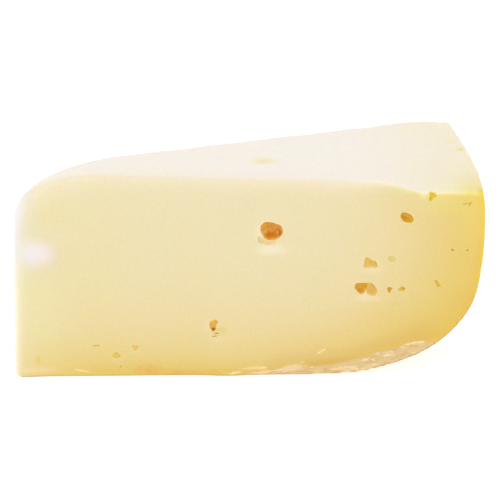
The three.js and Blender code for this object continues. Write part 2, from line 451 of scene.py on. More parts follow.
def top_waste(sizes):
    """What the slice across the top takes away: a sheet shaped to the top, raised to a block."""
    axis = wheel_axis(sizes)
    bm = bmesh.new()
    bmesh.ops.create_grid(bm, x_segments=TOP_COLUMNS, y_segments=TOP_ROWS, size=0.5)
    reach = wheel_radius(sizes) + OVERRUN - sizes.tip_distance
    width = CAD_HIGH.y - CAD_LOW.y + 2 * OVERRUN
    for vert in bm.verts:
        along = (vert.co.x + 0.5) ** TOP_CROWDING
        x = sizes.tip_distance - MM + reach * along
        y = (vert.co.y + 0.5) * width - OVERRUN
        vert.co = (axis.x + x, axis.y + y, float(top_height(sizes, x, y)))
    raised = bmesh.ops.extrude_face_region(bm, geom=bm.faces[:])["geom"]
    ceiling = sizes.top_at_axis + SPARE_HEIGHT + OVERRUN
    for vert in (part for part in raised if isinstance(part, bmesh.types.BMVert)):
        vert.co.z = ceiling
    return mesh_from(bm, "top_waste")


def smooth(bm, verts, passes):
    """Smooths some of a mesh's vertices that many times."""
    for _ in range(passes):
        bmesh.ops.smooth_vert(
            bm,
            verts=verts,
            factor=0.5,
            use_axis_x=True,
            use_axis_y=True,
            use_axis_z=True,
        )


def soften(piece, sizes):
    """Wears the edges down: a little everywhere, more along the top's edges, most on the nose."""
    points, _ = points_of(piece.data)
    places = WheelPlaces(sizes, points)
    off_cut = np.minimum(places.in_front, places.in_back)
    before_heel = places.x < sizes.heel_start
    low_tip = (places.in_tip < NOSE_WEAR) & (places.z > NOSE_WEAR_FOOT)
    bm = bmesh.new()
    bm.from_mesh(piece.data)
    bm.verts.ensure_lookup_table()
    top_edges = [
        (places.in_front, EDGE_WEAR, EDGE_WEAR_PASSES, before_heel),
        (places.in_front, WIDE_WEAR, WIDE_WEAR_PASSES, places.x < WIDE_WEAR_END),
        (places.in_back, EDGE_WEAR, BACK_WEAR_PASSES, before_heel),
    ]
    for reach in NOSE_WEAR_REACHES:
        on_nose = places.x < sizes.tip_distance + reach
        top_edges.append((off_cut, NOSE_WEAR, NOSE_WEAR_PASSES, on_nose))
    for off_face, width, passes, along in top_edges:
        worn = along & (off_face < width) & (places.in_top < width)
        smooth(bm, [bm.verts[i] for i in np.flatnonzero(worn)], passes)
    worn = np.flatnonzero(low_tip & (off_cut < NOSE_WEAR))
    smooth(bm, [bm.verts[i] for i in worn], NOSE_WEAR_PASSES)
    smooth(bm, bm.verts, SOFTENING_PASSES)
    bm.to_mesh(piece.data)
    bm.free()


# Where the knife pressed the front cut's lower edge out: x, half width and how far, in millimetres.
LIPS = ((19.0, 7.0, 0.5), (88.2, 7.5, 0.7), (133.4, 8.0, 0.8))
LIP_HEIGHT = 2.2 * MM
LIP_DEPTHS = (0.2 * MM, 2.5 * MM)
# Where the tip is a little fuller: height, half height and how far it stands out.
TIP_SWELL = (62.3 * MM, 4.5 * MM, 0.43 * MM)
TIP_SWELL_ENDS = (MM, 7 * MM)

# The waves of a cut by hand and the pebbles of the rind: wavelength, share and seed.
HAND_WAVES = ((34 * MM, 1.0, 1), (13 * MM, 0.5, 2))
PEBBLES = ((3.2 * MM, 1.0, 3), (1.6 * MM, 0.6, 4))
# How strong both are, and how far the rind sinks in, as shares of the unevenness.
HAND_SHARE = 0.5
PEBBLE_SHARE = 0.35
RIND_SINK = 0.1
# How deep the pebbling goes, and where the skin stays even: low on the base and by the tip.
RIND_ROUGHNESS_DEPTHS = (0.6 * MM, 1.5 * MM)
FLAT_BASE = (0.2 * MM, 0.8 * MM)
SMOOTH_TIP = (-MM, 4 * MM)


def pressed_out(places):
    """How far out of the front cut its lower edge stands."""
    out = np.zeros(len(places.x))
    for middle, half, furthest in LIPS:
        out = out + furthest * MM * hump(places.x / MM - middle, half)
    return out * fading(places.in_front, *LIP_DEPTHS) * hump(places.in_rind, LIP_HEIGHT)


def fuller_tip(places):
    """How far the tip stands out under the nose."""
    middle, half, furthest = TIP_SWELL
    return furthest * fading(places.in_tip, *TIP_SWELL_ENDS) * hump(places.z - middle, half)


def mixed_waves(points, list_of_waves):
    """The sum of some seeded waves, each of its own length and share."""
    return sum(share * waves(points, wavelength, seed) for wavelength, share, seed in list_of_waves)


def roughen(piece, sizes):
    """Gives the cut faces the slow waves of a cut by hand, and the rind a low pebbling."""
    points, normals = points_of(piece.data)
    places = WheelPlaces(sizes, points)
    on_rind = fading(places.in_rind, *RIND_ROUGHNESS_DEPTHS)
    broad = HAND_SHARE * mixed_waves(points, HAND_WAVES)
    pebbled = RIND_SINK + PEBBLE_SHARE * mixed_waves(points, PEBBLES) + broad
    depth = sizes.unevenness * shift(broad, pebbled, on_rind)
    depth = depth * smooth_step(places.z, *FLAT_BASE) * smooth_step(places.in_tip, *SMOOTH_TIP)
    moved = points - normals * depth[:, None]
    moved[:, 0] -= fuller_tip(places)
    moved[:, 1] -= pressed_out(places)
    piece.data.vertices.foreach_set("co", moved.astype(np.float32).ravel())
    piece.data.update()


class CHEESE_OT_cut_wedge(bpy.types.Operator):
    """Cuts the wedge from the wheel, slices its top and gives it a fine worn skin"""

    bl_idname = "cheese.cut_wedge"
    bl_label = "Cut wedge"

    def execute(self, context):
        sizes = context.scene.wedge_sizes
        colours = context.scene.cheese_colours
        paste = cut_paste(colours, wheel_axis(sizes))
        piece = new_piece(PIECE, wheel_slice(sizes))
        waste = top_waste(sizes)
        for mesh in (piece.data, waste):
            mesh.materials.append(paste)
        subtract(piece, [waste])
        skin = piece.modifiers.new("skin", "REMESH")
        skin.mode = "VOXEL"
        skin.voxel_size = sizes.skin_fineness
        apply_modifiers(piece)
        soften(piece, sizes)
        roughen(piece, sizes)
        return {"FINISHED"}


# --------------------------------------------------------------------------------------- the eyes


class Eye:
    """One eye, in millimetres.

    x runs along the cut from the wheel's axis and z is the height. radii are the distances from
    there to the eye's rim, evenly spaced and anticlockwise from +X. rough is how uneven its wall
    is; sink moves its middle into the cheese, so that the wall hangs over.
    """

    def __init__(self, x, z, radii, deep, rough=0.08, sink=0.0):
        self.x, self.z = x, z
        self.radii, self.deep = radii, deep
        self.rough, self.sink = rough, sink

    def radius_at(self, angle):
        """The distance to the rim in a direction, smooth through the given radii."""
        count = len(self.radii)
        place = angle / (2.0 * math.pi) * count
        first = math.floor(place)
        t = place - first
        a, b, c, d = (self.radii[(first + step) % count] for step in (-1, 0, 1, 2))
        bend = (2.0 * a - 5.0 * b + 4.0 * c - d) * t * t + (3.0 * (b - c) + d - a) * t**3
        return b + 0.5 * ((c - a) * t + bend)


OVAL_STEPS = 24


def oval(wide, high, turn=0.0, corners=2, sharp=0.0):
    """The radii of an ellipse turned by degrees, pushed out of round at its corners."""
    radii = []
    for step in range(OVAL_STEPS):
        angle = 2.0 * math.pi * step / OVAL_STEPS - math.radians(turn)
        radius = wide * high / math.hypot(high * math.cos(angle), wide * math.sin(angle))
        radii.append(radius * (1.0 + sharp * math.cos(corners * angle)))
    return radii


MAIN_EYE = (3.85, 3.82, 3.3, 3.25, 3.9, 4.18, 3.9, 3.5, 3.82, 3.55, 3.55, 3.65)
ROOF_EYE = (2.3, 1.75, 1.45, 1.75, 2.8, 2.35, 2.05, 2.6, 2.0, 1.63, 1.85, 2.85)
TWIN_LEFT = (2.3, 3.0, 2.35, 1.95, 2.4, 2.4, 2.07, 1.95, 2.1, 2.3, 2.0, 1.85)
TWIN_RIGHT = (1.9, 1.65, 1.75, 2.4, 2.95, 2.5, 1.8, 1.75, 2.0, 2.3, 2.65, 2.3)
DART = (0.75, 1.1, 1.1, 0.9, 1.05, 1.0, 0.65, 0.6, 0.9, 1.2, 0.85, 0.65)
LENS = (1.3, 0.95, 0.95, 1.1, 1.0, 1.0, 1.5, 1.2, 0.9, 0.85, 0.9, 1.1)
LOW_EYE = (1.1, 1.8, 2.15, 2.1, 1.85, 1.5, 1.45, 1.35, 1.75, 2.2, 1.75, 1.15)
NOTCH = (1.65, 1.5, 1.5, 1.65, 1.85, 1.2, 0.8, 1.2, 1.9, 1.6, 1.1, 1.25)
HEART = (1.0, 1.25, 1.2, 0.7, 1.15, 1.25, 1.0, 0.75, 0.9, 1.15, 0.8, 0.7)

FRONT_EYES = [
    Eye(102.4, 55.7, MAIN_EYE, 3.9, rough=0.1, sink=0.5),
    Eye(99.3, 52.5, oval(1.6, 1.5, 20, 3, 0.06), 0.5),
    Eye(101.6, 51.5, oval(2.2, 1.15, 4, 3, 0.08), 0.22),
    Eye(148.1, 60.4, oval(2.65, 1.68, -39), 2.2, rough=0.1, sink=0.3),
    Eye(156.4, 68.4, NOTCH, 1.35, rough=0.14),
    Eye(169.3, 65.5, oval(0.8, 0.7, 40, 3, 0.2), 0.6),
    Eye(167.7, 65.5, oval(0.9, 0.2), 0.5),
    Eye(136.2, 43.1, ROOF_EYE, 1.5, sink=0.1),
    Eye(143.5, 44.8, oval(1.45, 1.1, -20), 0.35),
    Eye(133.3, 33.7, TWIN_LEFT, 2.3, rough=0.12, sink=0.2),
    Eye(136.8, 33.2, TWIN_RIGHT, 1.2, rough=0.12),
    Eye(143.0, 33.0, DART, 1.0),
    Eye(147.2, 33.2, LENS, 0.6),
    Eye(147.6, 33.3, oval(0.75, 0.7), 0.95),
    Eye(159.5, 35.05, oval(1.75, 0.72, -58, 3, -0.16), 0.8),
    Eye(83.1, 19.8, LOW_EYE, 1.6, rough=0.12),
    Eye(83.2, 17.8, oval(0.62, 0.5), 1.9, sink=0.25),
    Eye(84.3, 16.6, oval(0.9, 0.26, -8), 0.7),
    Eye(83.6, 15.5, oval(1.1, 0.3, 12), 0.5),
    Eye(56.5, 11.3, HEART, 0.5),
    Eye(50.0, 8.3, oval(1.3, 1.1, 0, 4, 0.1), 0.65),
    Eye(43.2, 12.2, oval(1.35, 0.4), 0.3),
    Eye(23.2, 6.8, oval(0.7, 1.6), 0.2),
    Eye(164.0, 48.1, oval(0.6, 0.32, -12), 0.6),
    Eye(169.1, 48.0, oval(0.45, 0.28), 0.5),
    Eye(51.5, 4.1, oval(0.35, 0.35), 0.4),
]
# The eye that the slice across the top left open.
TOP_EYE = Eye(100.2, 14.5, oval(6.5, 4.1, 4, 2, 0.04), 0.5, rough=0.04, sink=-0.37)

# The back cut's eyes: how many, their sizes, and how far they keep from each other and from the
# cut's edges, in millimetres.
BACK_EYE_COUNT = 13
BACK_EYE_SEED = 71
BACK_EYE_SIZES = (0.7, 3.9)
BACK_EYE_GAP = 7
BACK_EYE_MARGIN = 9
# Their widths and heights as shares of the size, and how their outlines stray from an oval.
BACK_EYE_WIDTHS = (0.8, 1.2)
BACK_EYE_HEIGHTS = (0.7, 1.0)
BACK_EYE_CORNERS = (2, 5)
BACK_EYE_SHARPNESS = (0.04, 0.14)
BACK_EYE_ROUGHNESS = 0.14

# Short nicks that the wire tore, from (x, z) to (x, z) on the front cut, with their half width,
# in millimetres.
NICKS = [
    ((118.1, 7.9), (122.5, 10.9), 0.34),
    ((33.4, 3.3), (42.8, 1.6), 0.32),
    ((117.0, 12.4), (121.0, 12.9), 0.15),
    ((127.3, 16.6), (130.1, 18.0), 0.15),
]
NICK_DEPTH = 0.25
NICK_ROUGHNESS = 0.2

# How many times the first icosahedron is divided, by the eye's smallest radius in millimetres.
EYE_FINENESS = ((2.2, 5), (0.5, 4), (0.0, 3))
# How often an eye's wall waves and ripples, and how strong the ripples are beside the waves.
WALL_WAVES = 1.7
WALL_RIPPLES = 4.3
RIPPLE_SHARE = 0.4


DRAW_FACTOR = 48271
DRAW_LIMIT = 2147483647


def random_numbers(seed):
    """A seeded generator of numbers from 0 to 1, by the Park-Miller rule."""
    state = seed
    while True:
        state = state * DRAW_FACTOR % DRAW_LIMIT
        yield state / DRAW_LIMIT


def back_eyes(sizes):
    """The back cut's eyes, each drawn again until it is clear of the edges and the others."""
    draw = random_numbers(BACK_EYE_SEED)
    tip = sizes.tip_distance / MM
    radius = wheel_radius(sizes) / MM
    margin = BACK_EYE_MARGIN
    placed = []
    while len(placed) < BACK_EYE_COUNT:
        size = shift(*BACK_EYE_SIZES, next(draw) ** 3)
        x = shift(tip, radius, math.sqrt(next(draw)))
        z = sizes.top_at_axis / MM * next(draw)
        wide = size * shift(*BACK_EYE_WIDTHS, next(draw))
        high = size * shift(*BACK_EYE_HEIGHTS, next(draw))
        turn = 180 * next(draw)
        corners = int(shift(*BACK_EYE_CORNERS, next(draw)))
        sharp = shift(*BACK_EYE_SHARPNESS, next(draw))
        side = float(side_radius(sizes, z * MM)) / MM
        top = float(top_height(sizes, x * MM, 0.0)) / MM
        inside = tip + margin < x < side - margin and margin < z < top - margin
        apart = all(math.hypot(e.x - x, e.z - z) > BACK_EYE_GAP + wide for e in placed)
        if inside and apart:
            radii = oval(wide, high, turn, corners, sharp)
            placed.append(Eye(x, z, radii, size, rough=BACK_EYE_ROUGHNESS))
    return placed


def eye_cutter(eye, number, material):
    """The space of one eye about its middle: its outline lies in XZ and its depth along Y."""
    fineness = next(level for size, level in EYE_FINENESS if min(eye.radii) >= size)
    bm = bmesh.new()
    bmesh.ops.create_icosphere(bm, subdivisions=fineness, radius=1.0)
    astray = Vector((7.1 * number, 3.7, 1.9))
    for vert in bm.verts:
        radius = eye.radius_at(math.atan2(vert.co.z, vert.co.x))
        wave = noise.noise(vert.co * WALL_WAVES + astray)
        ripple = noise.noise(vert.co * WALL_RIPPLES - astray)
        bulge = 1.0 + eye.rough * (wave + RIPPLE_SHARE * ripple)
        stretch = Vector((radius, eye.deep, radius)) * bulge * MM
        vert.co = Vector(vert.co[i] * stretch[i] for i in range(3))
        vert.co.y += eye.sink * MM
    mesh = mesh_from(bm, "eye")
    mesh.materials.append(material)
    return mesh


def nick_cutter(start, end, half_width, material):
    """The space of a shallow nick along a line on the front cut."""
    run = math.hypot(end[0] - start[0], end[1] - start[1])
    turn = math.degrees(math.atan2(end[1] - start[1], end[0] - start[0]))
    middle = ((start[0] + end[0]) / 2, (start[1] + end[1]) / 2)
    nick = Eye(*middle, oval(run / 2, half_width, turn), NICK_DEPTH, NICK_ROUGHNESS)
    return nick, eye_cutter(nick, round(run * 10), material)


def place_in_front(mesh, sizes, x, z):
    """Moves a cutter to its place on the front cut."""
    axis = wheel_axis(sizes)
    mesh.transform(Matrix.Translation((axis.x + x * MM, axis.y, z * MM)))
    return mesh


def place_in_back(mesh, sizes, x, z):
    """Moves a cutter to its place on the back cut, turned so that its depth points inwards."""
    axis = wheel_axis(sizes)
    flip = Matrix.Scale(-1.0, 4, Vector((0.0, 1.0, 0.0)))
    swing = Matrix.Rotation(sizes.wedge_angle, 4, "Z")
    away = Matrix.Translation((x * MM, 0.0, z * MM))
    mesh.transform(Matrix.Translation(axis) @ swing @ away @ flip)
    mesh.flip_normals()
    return mesh


def place_in_top(mesh, sizes, x, y):
    """Moves a cutter to its place on the top, with its depth pointing down."""
    axis = wheel_axis(sizes)
    height = float(top_height(sizes, x * MM, y * MM))
    lay = Matrix.Rotation(-math.pi / 2, 4, "X")
    away = Matrix.Translation((axis.x + x * MM, axis.y + y * MM, height))
    mesh.transform(away @ lay)
    return mesh


class CHEESE_OT_open_eyes(bpy.types.Operator):
    """Opens the eyes in the two cuts and the top, and the nicks of the wire"""

    bl_idname = "cheese.open_eyes"
    bl_label = "Open eyes"

    def execute(self, context):
        sizes = context.scene.wedge_sizes
        colours = context.scene.cheese_colours
        piece = bpy.data.objects[PIECE]
        wall = eye_wall(colours)
        torn = torn_paste(colours)
        cutters = []
        for number, eye in enumerate(FRONT_EYES):
            cutters.append(place_in_front(eye_cutter(eye, number, wall), sizes, eye.x, eye.z))
        for number, eye in enumerate(back_eyes(sizes), len(FRONT_EYES)):
            cutters.append(place_in_back(eye_cutter(eye, number, wall), sizes, eye.x, eye.z))
        paste = piece.data.materials[0]
        cutters.append(place_in_top(eye_cutter(TOP_EYE, 0, paste), sizes, TOP_EYE.x, TOP_EYE.z))
        for start, end, half_width in NICKS:
            nick, mesh = nick_cutter(start, end, half_width, torn)
            cutters.append(place_in_front(mesh, sizes, nick.x, nick.z))
        subtract(piece, cutters)
        return {"FINISHED"}


# -------------------------------------------------------------------------------------- materials

# The numbers of the Mix node's colour sockets.
COLOUR_A, COLOUR_B, COLOUR_OUT = 6, 7, 2
WHITE = (1.0, 1.0, 1.0, 1.0)


def add(tree, kind, sockets=None, **settings):
    """Adds a node, sets its properties, and fills its inputs with values or other outputs."""
    made = tree.nodes.new(kind)
    for name, value in settings.items():
        setattr(made, name, value)
    for key, value in (sockets or {}).items():
        if isinstance(value, bpy.types.NodeSocket):
            tree.links.new(value, made.inputs[key])
        else:
            made.inputs[key].default_value = value
    return made


def new_material(name):
    """An empty node material with its output node."""
    material = bpy.data.materials.new(name)
    material.use_nodes = True
    material.node_tree.nodes.clear()
    return material, add(material.node_tree, "ShaderNodeOutputMaterial")


def rgba(colour_value):
    """A colour with full alpha."""
    return (*colour_value, 1.0)


def attribute(tree, name):
    """The number that a named attribute of the mesh holds."""
    return add(tree, "ShaderNodeAttribute", attribute_name=name).outputs["Fac"]


def tint_of(tree, name):
    """The colour that a named attribute of the mesh holds."""
    return add(tree, "ShaderNodeAttribute", attribute_name=name).outputs["Color"]


def graded(tree, factor, stops):
    """A colour ramp through (place, colour) stops."""
    made = add(tree, "ShaderNodeValToRGB", {"Fac": factor})
    ramp = made.color_ramp
    for place, _ in stops[2:]:
        ramp.elements.new(place)
    for element, (place, value) in zip(ramp.elements, stops):
        element.position = place
        element.color = rgba(value)
    return made.outputs["Color"]


def grain(tree, millimetres, detail=2.0, stretch=(1.0, 1.0, 1.0), turn=(0.0, 0.0, 0.0)):
    """Noise from 0 to 1 whose patches are about that many millimetres, times the stretch."""
    places = add(tree, "ShaderNodeTexCoord").outputs["Object"]
    sockets = {"Vector": places, "Scale": stretch, "Rotation": turn}
    mapped = add(tree, "ShaderNodeMapping", sockets, vector_type="TEXTURE")
    scale = 1.0 / (millimetres * MM)
    made = add(
        tree,
        "ShaderNodeTexNoise",
        {"Vector": mapped.outputs["Vector"], "Scale": scale, "Detail": detail, "Roughness": 0.55},
    )
    return made.outputs["Fac"]


def spread(tree, value, low, high, to_low=0.0, to_high=1.0):
    """A number stretched from one range to another, and held inside it."""
    made = add(
        tree,
        "ShaderNodeMapRange",
        {"Value": value, "From Min": low, "From Max": high, "To Min": to_low, "To Max": to_high},
    )
    return made.outputs["Result"]


def patchy(tree, millimetres, low, high, detail=2.0, ends=(0.3, 0.7)):
    """A number that wanders from low to high over patches of about that many millimetres."""
    return spread(tree, grain(tree, millimetres, detail=detail), *ends, low, high)


def blend(tree, factor, first, second, mode="MIX"):
    """Two colours mixed by a factor."""
    sockets = {"Factor": factor, COLOUR_A: first, COLOUR_B: second}
    made = add(tree, "ShaderNodeMix", sockets, data_type="RGBA", blend_type=mode)
    return made.outputs[COLOUR_OUT]


def multiplied(tree, first, second):
    """Two colours, or a colour and a grey, multiplied."""
    return blend(tree, 1.0, first, second, "MULTIPLY")


def reckon(tree, operation, first, second):
    """Two numbers put together by an operation."""
    return add(tree, "ShaderNodeMath", {0: first, 1: second}, operation=operation).outputs[0]


def bumps(tree, height, millimetres, under=None):
    """A bump of that height in millimetres, over another one if there is one."""
    sockets = {"Height": height, "Strength": 1.0, "Distance": millimetres * MM}
    if under is not None:
        sockets["Normal"] = under
    return add(tree, "ShaderNodeBump", sockets).outputs["Normal"]


def finish_material(tree, output, sockets):
    """Ends a material with its Principled shader."""
    shader = add(tree, "ShaderNodeBsdfPrincipled", sockets)
    tree.links.new(shader.outputs["BSDF"], output.inputs["Surface"])


# Light goes a few millimetres into cheese, red furthest and blue least.
CHEESE_SCATTER = (1.0, 0.62, 0.28)
# Refraction of moist, fatty paste and of the rind's plastic coat.
PASTE_IOR = 1.44
COAT_IOR = 1.46
# The ends of a noise whose rarer values count too.
WIDE = (0.2, 0.8)
# Arc lengths along the rind between which its edge turns from brown to yellow and the cut's painted
# shade by the floor fades out, in millimetres.
FOOT_ARCS = (165.0, 195.0)
# The scuffed strip's streaks: how long they are, and how steeply they rise along it.
STREAK_STRETCH = (5.0, 2.0, 1.0)
STREAK_RISE = math.radians(11)
# The wire's fine lines, drawn out from its top to its foot.
WIRE_STRETCH = (1.0, 1.0, 16.0)
# How far the shaded upper edge of an eye is darkened.
ROOF_SHADE = 0.7


def scattering(weight, millimetres):
    """The shader's values for light that goes about that far into the cheese."""
    return {
        "Subsurface Weight": weight,
        "Subsurface Radius": CHEESE_SCATTER,
        "Subsurface Scale": millimetres * MM,
    }


# Marks in the scuffed strip, each a line on the front cut and its half width, in millimetres: pale
# wisps, partly painted highlight, then darker strokes and painted glints.
WISPS = [
    ((88.2, 0.9), (93.0, 1.8), 0.6),
    ((92.8, 2.9), (101.8, 3.2), 0.85),
    ((94.5, 0.8), (107.5, 2.6), 0.7),
    ((107.2, 2.7), (113.4, 3.6), 1.5),
    ((122.5, 2.3), (129.0, 2.5), 0.7),
    ((148.0, 11.8), (156.5, 13.0), 0.6),
]
# Darker strokes in the scuffed strip.
DARK_STROKES = [
    ((93.1, 1.2), (100.3, 1.9), 0.33),
    ((102.0, 2.3), (105.1, 2.6), 0.3),
    ((111.0, 1.3), (117.6, 1.5), 0.75),
    ((121.5, 2.7), (122.2, 1.2), 0.5),
    ((135.7, 5.4), (137.8, 6.6), 0.35),
    ((137.1, 5.1), (140.6, 5.6), 0.3),
    ((143.7, 9.7), (146.3, 9.9), 0.3),
    ((147.8, 6.8), (149.4, 9.2), 0.9),
    ((150.3, 10.6), (151.4, 10.9), 0.3),
]
# Painted glints in the scuffed strip.
GLINT_STROKES = [
    ((89.1, 1.2), (92.4, 1.8), 0.4),
    ((98.9, 2.8), (101.3, 3.4), 0.33),
    ((98.3, 1.0), (103.1, 1.4), 0.3),
    ((104.8, 2.0), (107.5, 2.6), 0.3),
    ((113.0, 4.9), (114.4, 5.5), 0.35),
    ((114.1, 3.7), (116.1, 3.8), 0.26),
    ((116.7, 3.1), (117.5, 3.1), 0.4),
    ((128.3, 3.2), (130.3, 3.4), 0.42),
    ((132.2, 2.4), (133.1, 2.6), 0.33),
    ((134.2, 5.6), (136.9, 6.5), 0.5),
    ((137.7, 6.0), (138.5, 6.1), 0.3),
    ((139.1, 8.2), (140.3, 8.8), 0.45),
    ((141.7, 7.4), (143.3, 7.7), 0.42),
    ((143.9, 9.0), (144.8, 9.1), 0.3),
    ((147.3, 10.8), (148.9, 10.9), 0.36),
    ((148.2, 11.4), (152.8, 12.7), 0.28),
    ((151.5, 8.4), (152.7, 8.8), 0.4),
    ((137.5, 3.8), (140.3, 4.4), 0.33),
]
# How far a stroke's border strays, how deep it goes into the cut, and how much of it is solid.
RAGGEDNESS = 1.0 * MM
STROKE_DEPTH = 3 * MM
STROKE_SOFTNESS = 0.45


def strokes(tree, axis, lines):
    """How much some short ragged strokes on the front cut cover each place, from 0 to 1."""
    places = add(tree, "ShaderNodeTexCoord").outputs["Object"]
    noise_in = {"Vector": places, "Scale": 1.0 / MM, "Detail": 2.0}
    ragged = add(tree, "ShaderNodeTexNoise", noise_in).outputs["Color"]
    level = {0: ragged, 1: (0.5, 0.5, 0.5)}
    astray = add(tree, "ShaderNodeVectorMath", level, operation="SUBTRACT").outputs[0]
    shifted = {0: astray, 1: (RAGGEDNESS, RAGGEDNESS, RAGGEDNESS), 2: places}
    shifted = add(tree, "ShaderNodeVectorMath", shifted, operation="MULTIPLY_ADD").outputs[0]
    total = 0.0
    for start, end, half_width in lines:
        out, up = end[0] - start[0], end[1] - start[1]
        middle = Vector((start[0] + end[0], 0.0, start[1] + end[1])) * MM / 2
        reach = (math.hypot(out, up) / 2 + half_width) * MM
        sockets = {
            "Vector": shifted,
            "Location": axis + middle,
            "Rotation": (0.0, -math.atan2(up, out), 0.0),
            "Scale": (reach, STROKE_DEPTH, half_width * MM),
        }
        mapped = add(tree, "ShaderNodeMapping", sockets, vector_type="TEXTURE").outputs["Vector"]
        near = add(
            tree, "ShaderNodeTexGradient", {"Vector": mapped}, gradient_type="SPHERICAL"
        ).outputs["Fac"]
        total = reckon(tree, "MAXIMUM", total, near)
    return spread(tree, total, 0.0, STROKE_SOFTNESS)


def cut_paste(colours, axis):
    """Semi-hard cheese cut by wire: dense, faintly translucent and waxy, with a dull moist sheen.

    It goes from cream at the heart to yellow and then orange under the rind, pale where the slice
    has dried and where sheen and highlights are painted on, with curd grain too fine to feel.
    Glints are painted on the scuffed strip, and painted shade darkens the cut's lower edge by the
    floor.
    """
    material, output = new_material("cut_cheese_paste")
    tree = material.node_tree
    ripeness = attribute(tree, "ripeness")
    paste = graded(
        tree,
        reckon(tree, "ADD", ripeness, patchy(tree, 16, -0.02, 0.02, 3.0, WIDE)),
        [
            (0.0, colours.heart),
            (0.3, colours.mellow),
            (0.7, colours.ripe),
            (0.95, colours.dried),
        ],
    )
    top = graded(
        tree,
        ripeness,
        [(0.08, colours.top_heart), (0.66, colours.top_ripe), (0.93, colours.lemon)],
    )
    # Paleness: the top's dried bloom and painted sheen, the pale worn edges, and painted highlights
    # at the tip and below the nose.
    paste = blend(tree, attribute(tree, "paleness"), paste, top)
    stained = reckon(tree, "ADD", attribute(tree, "stain"), patchy(tree, 2.5, -0.3, 0.3, ends=WIDE))
    paste = blend(tree, spread(tree, stained, 0.35, 0.9), paste, rgba(colours.stain))
    for name, tint in (("lemon", colours.lemon), ("rim", colours.rim)):
        paste = blend(tree, attribute(tree, name), paste, rgba(tint))
    streak = grain(tree, 1.0, detail=3.0, stretch=STREAK_STRETCH, turn=(0.0, -STREAK_RISE, 0.0))
    # Streaks in the scuffed strip, from darker ones to painted glints.
    scuffed = graded(
        tree,
        streak,
        [
            (0.34, colours.scuff_dark),
            (0.46, colours.scuff),
            (0.57, colours.scuff),
            (0.74, colours.scuff_glint),
        ],
    )
    waver = spread(tree, streak, 0.3, 0.7, -1.0, 1.0)
    frayed = reckon(tree, "MULTIPLY", attribute(tree, "fray"), waver)
    border = reckon(tree, "ADD", attribute(tree, "scuff"), frayed)
    in_scuff = spread(tree, border, -0.3, 0.9)
    paste = blend(tree, in_scuff, paste, scuffed)
    # Pale wisps and painted glints in the glint colour, and darker strokes.
    for lines, strength, tint in (
        (WISPS, 0.45, colours.scuff_glint),
        (DARK_STROKES, 0.6, colours.scuff_dark),
        (GLINT_STROKES, 0.6, colours.scuff_glint),
    ):
        covered = reckon(tree, "MULTIPLY", strokes(tree, axis, lines), strength)
        paste = blend(tree, covered, paste, rgba(tint))
    paste = multiplied(tree, paste, tint_of(tree, "touch"))
    # Painted shade along the cut's lower edge by the rind, where the wedge meets the floor.
    low = spread(tree, attribute(tree, "rind_arc"), *FOOT_ARCS, 1.0, 0.0)
    outer = spread(tree, attribute(tree, "rind_depth"), 0.1, 0.8, 1.0, 0.0)
    shade = blend(tree, reckon(tree, "MULTIPLY", low, outer), WHITE, rgba(colours.painted_contact_shade))
    paste = multiplied(tree, paste, shade)
    paste = multiplied(tree, paste, patchy(tree, 1.1, 0.975, 1.015, detail=4.0))
    curd = bumps(tree, grain(tree, 1.4, detail=3.0), 0.05)
    wire = grain(tree, 1.2, detail=1.0, stretch=WIRE_STRETCH)
    surface = bumps(tree, wire, 0.03, curd)
    crinkle = reckon(tree, "MULTIPLY", streak, in_scuff)
    surface = bumps(tree, crinkle, 0.25, surface)
    finish_material(
        tree,
        output,
        {
            "Base Color": paste,
            "Roughness": patchy(tree, 3.0, 0.42, 0.56, detail=3.0),
            "Normal": surface,
            "IOR": PASTE_IOR,
            **scattering(0.55, 2.6),
        },
    )
    return material


def eye_wall(colours):
    """The wall of an eye: smooth, moist and faintly glossy.

    Shallow eyes are only a darker yellow than the cut; deep ones turn orange, deepest on the floor
    of the eye, where its wall faces up. Painted shade darkens an eye's upper edge, and the eye
    tones add pale lips, partly painted glints, and olive rims, partly painted shade.
    """
    material, output = new_material("moist_eye_wall")
    tree = material.node_tree
    depth = reckon(tree, "ADD", attribute(tree, "depth"), patchy(tree, 1.2, -0.2, 0.2, ends=WIDE))
    wall = graded(
        tree,
        spread(tree, depth, 0.0, 4.0),
        [
            (0.03, colours.eye_rim),
            (0.2, colours.eye_shallow),
            (0.42, colours.eye_middle),
            (0.85, colours.eye_deep),
        ],
    )
    upward = attribute(tree, "upward")
    ripe = attribute(tree, "ripeness")
    floor = reckon(tree, "MULTIPLY", spread(tree, upward, 0.1, 0.75), spread(tree, depth, 0.6, 2.0))
    floor = reckon(tree, "MULTIPLY", floor, spread(tree, ripe, 0.1, 0.45, 1.0, 0.25))
    wall = blend(tree, floor, wall, rgba(colours.eye_floor))
    # Painted shade on the upper edge of an eye.
    roof = reckon(tree, "MULTIPLY", spread(tree, upward, -0.3, -0.8), spread(tree, depth, 1.6, 0.5))
    wall = blend(tree, reckon(tree, "MULTIPLY", roof, ROOF_SHADE), wall, rgba(colours.eye_roof))
    near_rind = spread(tree, ripe, 0.1, 0.5)
    wall = multiplied(tree, wall, blend(tree, near_rind, WHITE, rgba(colours.eye_ripe)))
    wall = multiplied(tree, wall, tint_of(tree, "tone"))
    finish_material(
        tree,
        output,
        {
            "Base Color": wall,
            "Roughness": patchy(tree, 0.8, 0.3, 0.45),
            "Normal": bumps(tree, grain(tree, 0.7, detail=3.0), 0.06),
            "IOR": PASTE_IOR,
            **scattering(0.5, 2.2),
        },
    )
    return material


